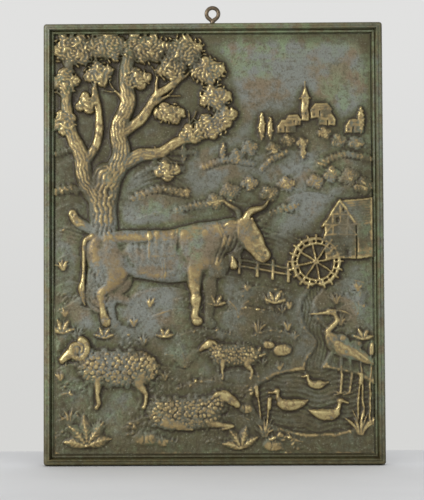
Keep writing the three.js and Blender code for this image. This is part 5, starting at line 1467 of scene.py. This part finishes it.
FRONT_FROM = 4.6              # points further than this from the wall belong to the front
PLAIN = 0.15                  # every value on the sides and the back
coordinates = np.empty(3 * len(light_mesh.vertices), np.float32)
light_mesh.vertices.foreach_get("co", coordinates)
coordinates = 1000 * coordinates.reshape(-1, 3)
at_x, at_z = coordinates[:, 0], coordinates[:, 2] - PLATE_LOW.z - BORDER
facing_front = coordinates[:, 1] < -FRONT_FROM
for name, values in [("rubbed", rubbed), ("hollows", hollows), ("damp", damp), ("wax_and_darkening", wax_and_darkening),
                     ("mossy", mossy)]:
    layer = light_mesh.attributes.new(name, "FLOAT", "POINT")
    found = sample(values, at_x, at_z, MAP_LEFT, MAP_LOW, GRID)
    layer.data.foreach_set("value", np.where(facing_front, found, PLAIN).astype(np.float32))


def linear(hex_colour):
    """An sRGB colour such as '6b6a5e' as the linear colour that the nodes use."""
    parts = [int(hex_colour[k:k + 2], 16) / 255 for k in (0, 2, 4)]
    return [p / 12.92 if p <= 0.04045 else ((p + 0.055) / 1.055) ** 2.4 for p in parts] + [1.0]


def add(tree, kind, inputs=(), **settings):
    """A node with its settings and its inputs, each either a value or another node's output."""
    node = tree.nodes.new(kind)
    for name, value in settings.items():
        setattr(node, name, value)
    for name, value in dict(inputs).items():
        if isinstance(value, bpy.types.NodeSocket):
            tree.links.new(value, node.inputs[name])
        else:
            node.inputs[name].default_value = value
    return node


def new_material(name):
    """A material, its node tree, its shader and the coordinates, in metres, that patterns follow."""
    material = bpy.data.materials.new(name)
    material.use_nodes = True
    tree = material.node_tree
    shader = tree.nodes["Principled BSDF"]
    where = add(tree, "ShaderNodeTexCoord").outputs["Object"]
    return material, tree, shader, where


def noise(tree, where, millimetres, detail=3, roughness=0.55):
    """Noise whose lumps are this many millimetres across."""
    return add(tree, "ShaderNodeTexNoise", {
        "Vector": where, "Scale": 1000 / millimetres, "Detail": detail,
        "Roughness": roughness}).outputs["Fac"]


def ramp(tree, value, low, high, bottom=0.0, top=1.0):
    return add(tree, "ShaderNodeMapRange", {
        "Value": value, "From Min": low, "From Max": high, "To Min": bottom, "To Max": top},
        interpolation_type="SMOOTHSTEP").outputs["Result"]


def calculate(tree, operation, a, b):
    node = add(tree, "ShaderNodeMath", operation=operation)
    for socket, value in zip(node.inputs, (a, b)):
        if isinstance(value, bpy.types.NodeSocket):
            tree.links.new(value, socket)
        else:
            socket.default_value = value
    return node.outputs[0]


def mix(tree, amount, first, second):
    node = add(tree, "ShaderNodeMix", data_type="RGBA")
    for socket, value in zip((node.inputs[0], node.inputs[6], node.inputs[7]), (amount, first, second)):
        if isinstance(value, bpy.types.NodeSocket):
            tree.links.new(value, socket)
        else:
            socket.default_value = value
    return node.outputs[2]


# Cast brass, browned and waxed: slate-green and purple-brown oxide, verdigris, dark hollows and
# yellow metal where it is rubbed.
patina, tree, shader, where = new_material("Patinated cast brass, waxed")
value_of = {name: add(tree, "ShaderNodeAttribute", attribute_name=name).outputs["Fac"]
            for name in ("rubbed", "hollows", "damp", "wax_and_darkening", "mossy")}
speckle = noise(tree, where, 1.6, 3, 0.7)
clouds = noise(tree, where, 26, 4, 0.6)
patches = noise(tree, where, 9, 5, 0.62)
stains = noise(tree, where, 4.2, 5, 0.68)
colour = mix(tree, ramp(tree, clouds, 0.44, 0.58), linear("777a72"), linear("776952"))
green = calculate(tree, "MULTIPLY", ramp(tree, patches, 0.4, 0.6), value_of["damp"])
colour = mix(tree, green, colour, linear("768664"))
olive = calculate(tree, "MULTIPLY", ramp(tree, patches, 0.66, 0.42, 0.35, 1), value_of["mossy"])
colour = mix(tree, olive, colour, linear("585c38"))
colour = mix(tree, ramp(tree, stains, 0.48, 0.66, 0, 0.6), colour, linear("524a33"))
# Darker where wax lies, and towards the foot, along its rail and round the outer edge
darkened = calculate(tree, "MULTIPLY", value_of["wax_and_darkening"], ramp(tree, stains, 0.3, 0.6, 0.5, 0.8))
colour = mix(tree, darkened, colour, linear("42391d"))
colour = mix(tree, ramp(tree, speckle, 0.5, 0.72, 0, 0.65), colour, linear("37331d"))
colour = mix(tree, ramp(tree, speckle, 0.28, 0.42, 0.45, 0), colour, linear("999a86"))
dirt = calculate(tree, "MULTIPLY", value_of["hollows"], ramp(tree, speckle, 0.2, 0.6, 0.65, 1))
colour = mix(tree, dirt, colour, linear("2b200c"))
worn = calculate(tree, "MULTIPLY", value_of["rubbed"], ramp(tree, speckle, 0.3, 0.55, 0.6, 1))
worn = calculate(tree, "MULTIPLY", worn, ramp(tree, noise(tree, where, 5.5, 4, 0.6), 0.34, 0.56, 0.2, 1))
colour = mix(tree, ramp(tree, worn, 0.02, 0.4), colour, linear("8c7850"))
colour = mix(tree, ramp(tree, worn, 0.3, 0.95), colour, linear("c4b480"))
tree.links.new(colour, shader.inputs["Base Color"])
tree.links.new(ramp(tree, worn, 0, 1, 0.12, 0.9), shader.inputs["Metallic"])
tree.links.new(ramp(tree, worn, 0, 1, 0.52, 0.38), shader.inputs["Roughness"])
grain = add(tree, "ShaderNodeBump", {
    "Height": noise(tree, where, 0.9, 3, 0.6), "Strength": 0.35, "Distance": 0.0002})
pits = add(tree, "ShaderNodeBump", {
    "Height": noise(tree, where, 3.2, 4, 0.6), "Strength": 0.5, "Distance": 0.0005,
    "Normal": grain.outputs["Normal"]})
tree.links.new(pits.outputs["Normal"], shader.inputs["Normal"])
light_mesh.materials.clear()
light_mesh.materials.append(patina)
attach(plaque, "root")
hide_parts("plaque")

# ---------------------------------------------------------------------------------------------
# HANGING EYE. A length of 3.3 mm wire with its shank let into the top edge. It is bent round
# into a loop that closes on its own neck, which leaves the hole slightly pointed at the foot.

WIRE = 1.65
EYE_LOW, EYE_HIGH = [1000 * Vector(corner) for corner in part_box("hanging_eye")]
EYE_Y = (EYE_LOW.y + EYE_HIGH.y) / 2
EYE_TOP = EYE_HIGH.z
LOOP = 4.95                   # radius of the wire's middle line
centre_z = EYE_TOP - LOOP - WIRE
path = [(0, EYE_LOW.z + 0.1, 1), (0, 4.8, 1), (0, 6.4, 1.18), (0.25, 7.9, 1.14)]
for degrees in range(40, 325, 15):
    turn = math.radians(degrees)
    path.append((LOOP * math.sin(turn), centre_z - LOOP * math.cos(turn), 1))
path += [(-1.9, 9.3, 0.98), (-0.7, 8.3, 0.9), (-0.2, 7.5, 0.75)]
path = curve_through(path, 4)

wire_line = bpy.data.meshes.new("wire_line")
wire_line.from_pydata([(0.001 * px, 0.001 * EYE_Y, 0.001 * pz) for px, pz, _ in path],
                      [(n, n + 1) for n in range(len(path) - 1)], [])
forging = wire_line.attributes.new("thickness", "FLOAT", "POINT")
forging.data.foreach_set("value", path[:, 2].astype(np.float32))
eye = bpy.data.objects.new("hanging_eye_wire", wire_line)
bpy.context.scene.collection.objects.link(eye)

tarnish, tree, shader, where = new_material("Brass wire, tarnished brown")
blush = noise(tree, where, 3.5, 4, 0.6)
grit = noise(tree, where, 0.8, 3, 0.6)
# Painted shade: the wire's colour is darkened to 201a10 where ambient occlusion finds it hemmed in, as shade
# falls there
wire_occlusion = add(tree, "ShaderNodeAmbientOcclusion", {"Distance": 0.003}).outputs["AO"]
painted_shade = ramp(tree, wire_occlusion, 0.35, 0.85, 1, 0)
colour = mix(tree, ramp(tree, blush, 0.4, 0.62), linear("7a6a55"), linear("5d5140"))
colour = mix(tree, ramp(tree, grit, 0.5, 0.7, 0, 0.6), colour, linear("3b3223"))
colour = mix(tree, painted_shade, colour, linear("201a10"))
tree.links.new(colour, shader.inputs["Base Color"])
shader.inputs["Metallic"].default_value = 0.55
tree.links.new(ramp(tree, grit, 0.3, 0.7, 0.34, 0.55), shader.inputs["Roughness"])
scratch = add(tree, "ShaderNodeBump", {"Height": grit, "Strength": 0.4, "Distance": 0.0002})
tree.links.new(scratch.outputs["Normal"], shader.inputs["Normal"])

# The wire's round section swept along its middle line
sweep = bpy.data.node_groups.new("Bent wire", "GeometryNodeTree")
sweep.interface.new_socket("Geometry", in_out="INPUT", socket_type="NodeSocketGeometry")
wire_socket = sweep.interface.new_socket("Wire radius", in_out="INPUT", socket_type="NodeSocketFloat")
side_socket = sweep.interface.new_socket("Sides", in_out="INPUT", socket_type="NodeSocketInt")
finish_socket = sweep.interface.new_socket("Finish", in_out="INPUT", socket_type="NodeSocketMaterial")
sweep.interface.new_socket("Geometry", in_out="OUTPUT", socket_type="NodeSocketGeometry")
given = sweep.nodes.new("NodeGroupInput")
section = add(sweep, "GeometryNodeCurvePrimitiveCircle", {
    "Resolution": given.outputs["Sides"], "Radius": given.outputs["Wire radius"]})
thickness = add(sweep, "GeometryNodeInputNamedAttribute", {"Name": "thickness"})
line = add(sweep, "GeometryNodeMeshToCurve", {"Mesh": given.outputs["Geometry"]})
swept = add(sweep, "GeometryNodeCurveToMesh", {
    "Curve": line.outputs["Curve"], "Profile Curve": section.outputs["Curve"],
    "Scale": thickness.outputs["Attribute"], "Fill Caps": True})
real = add(sweep, "GeometryNodeRealizeInstances", {"Geometry": swept.outputs["Mesh"]})
coated = add(sweep, "GeometryNodeSetMaterial", {
    "Geometry": real.outputs["Geometry"], "Material": given.outputs["Finish"]})
result = sweep.nodes.new("NodeGroupOutput")
sweep.links.new(coated.outputs["Geometry"], result.inputs["Geometry"])
bend = eye.modifiers.new("Bent wire", "NODES")
bend.node_group = sweep
bend[wire_socket.identifier] = WIRE * 0.001
bend[side_socket.identifier] = 28
bend[finish_socket.identifier] = tarnish
bpy.context.view_layer.update()
solid_wire = bpy.data.meshes.new_from_object(eye.evaluated_get(bpy.context.evaluated_depsgraph_get()))
eye.modifiers.remove(bend)
eye.data = solid_wire
solid_wire.shade_smooth()
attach(eye, "root")
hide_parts("hanging_eye")

# ---------------------------------------------------------------------------------------------
# FLOOR. A plain white-painted board under the lower edge. It ends a little behind the plaque, so
# that the back is seen as freely as the front.

FLOOR = PLATE_LOW.z - 0.3
BOARD_SIDE, BOARD_BACK, BOARD_THICK = 1500.0, 85.0, 18.0     # to the left, right and front; behind; thick
board = bmesh.new()
board_size = Vector((2 * BOARD_SIDE, BOARD_SIDE + BOARD_BACK, BOARD_THICK)) * 0.001
board_centre = Vector((0, (BOARD_BACK - BOARD_SIDE) / 2, FLOOR - BOARD_THICK / 2)) * 0.001
bmesh.ops.create_cube(board, size=1, matrix=Matrix.LocRotScale(board_centre, None, board_size))
board_mesh = bpy.data.meshes.new("floor_board")
board.to_mesh(board_mesh)
board.free()
floor = bpy.data.objects.new("floor_board", board_mesh)
bpy.context.scene.collection.objects.link(floor)
paint, tree, shader, where = new_material("White painted board")
colour = mix(tree, ramp(tree, noise(tree, where, 160, 3), 0.35, 0.65), linear("e9e9e8"), linear("e4e4e3"))
tree.links.new(colour, shader.inputs["Base Color"])
shader.inputs["Roughness"].default_value = 0.85
board_mesh.materials.append(paint)

# ---------------------------------------------------------------------------------------------
# LIGHT AND CAMERA. A soft light from the left and weak ones from the right and behind on the
# casting, a wash on the floor, and a pale room that looks a little brighter than it shines.


def soft_light(name, place, aim, across, watts, colour=(1, 1, 1)):
    light = bpy.data.lights.new(name, "AREA")
    light.shape = "DISK"
    light.size = across
    light.energy = watts
    light.color = colour
    lamp = bpy.data.objects.new(name, light)
    bpy.context.scene.collection.objects.link(lamp)
    lamp.location = place
    lamp.rotation_euler = (Vector(aim) - Vector(place)).to_track_quat("-Z", "Y").to_euler()
    return lamp


key = soft_light("key", (-1.5, -1.5, 0.6), (0, 0, -0.18), 1.1, 38.5, (1.0, 0.985, 0.955))
fill = soft_light("fill", (1.4, -2.2, 0.3), (0, 0, -0.2), 1.8, 7, (0.96, 0.98, 1.0))
rear = soft_light("rear", (0.7, 1.8, 0.1), (0, 0, -0.18), 1.6, 13)
wash = soft_light("floor wash", (0, -0.2, 1.6), (0, -0.2, -0.36), 1.4, 15)
for lights, lit, name in [
    ((key, fill, rear), (plaque, eye), "Lit by the key"), ((wash,), (floor,), "Lit by the wash"),
]:
    group = bpy.data.collections.new(name)
    for piece in lit:
        group.objects.link(piece)
    for lamp in lights:
        lamp.light_linking.receiver_collection = group
world = bpy.data.worlds.new("Pale room")
world.use_nodes = True
tree = world.node_tree
room = tree.nodes["Background"]
room.inputs["Color"].default_value = (0.95, 0.965, 1.0, 1)
room.inputs["Strength"].default_value = 0.5
# Painted shade: the backdrop that the camera sees runs from d6d6d4 low down to e1e1e0 higher up, darker
# towards the floor as shade falls there
outward = add(tree, "ShaderNodeTexCoord").outputs["Generated"]
upness = add(tree, "ShaderNodeSeparateXYZ", {"Vector": outward}).outputs["Z"]
wall = mix(tree, ramp(tree, upness, -0.13, 0.24), linear("d6d6d4"), linear("e1e1e0"))
wall = add(tree, "ShaderNodeBackground", {"Color": wall})
seen = add(tree, "ShaderNodeMixShader", {"Fac": add(tree, "ShaderNodeLightPath").outputs["Is Camera Ray"]})
tree.links.new(room.outputs[0], seen.inputs[1])
tree.links.new(wall.outputs[0], seen.inputs[2])
tree.links.new(seen.outputs[0], tree.nodes["World Output"].inputs["Surface"])
bpy.context.scene.world = world
bpy.context.scene.view_settings.view_transform = "Standard"

lens = bpy.data.cameras.new("camera")
lens.sensor_fit = "VERTICAL"
lens.sensor_width = lens.sensor_height = 36
lens.lens = 87.01
lens.clip_start, lens.clip_end = 0.05, 20
camera = bpy.data.objects.new("camera", lens)
bpy.context.scene.collection.objects.link(camera)
stand = Vector((0.0083, -1.0, -0.216))
pitch, yaw, roll = (math.radians(angle) for angle in (1.964, -0.554, -0.270))
forward = Vector((math.sin(yaw) * math.cos(pitch), math.cos(yaw) * math.cos(pitch), math.sin(pitch)))
level = forward.cross(Vector((0, 0, 1))).normalized()
upward = level.cross(forward)
right = level * math.cos(roll) + upward * math.sin(roll)
up = upward * math.cos(roll) - level * math.sin(roll)
camera.matrix_world = Matrix((
    (right.x, up.x, -forward.x, stand.x), (right.y, up.y, -forward.y, stand.y),
    (right.z, up.z, -forward.z, stand.z), (0, 0, 0, 1)))
bpy.context.scene.camera = camera
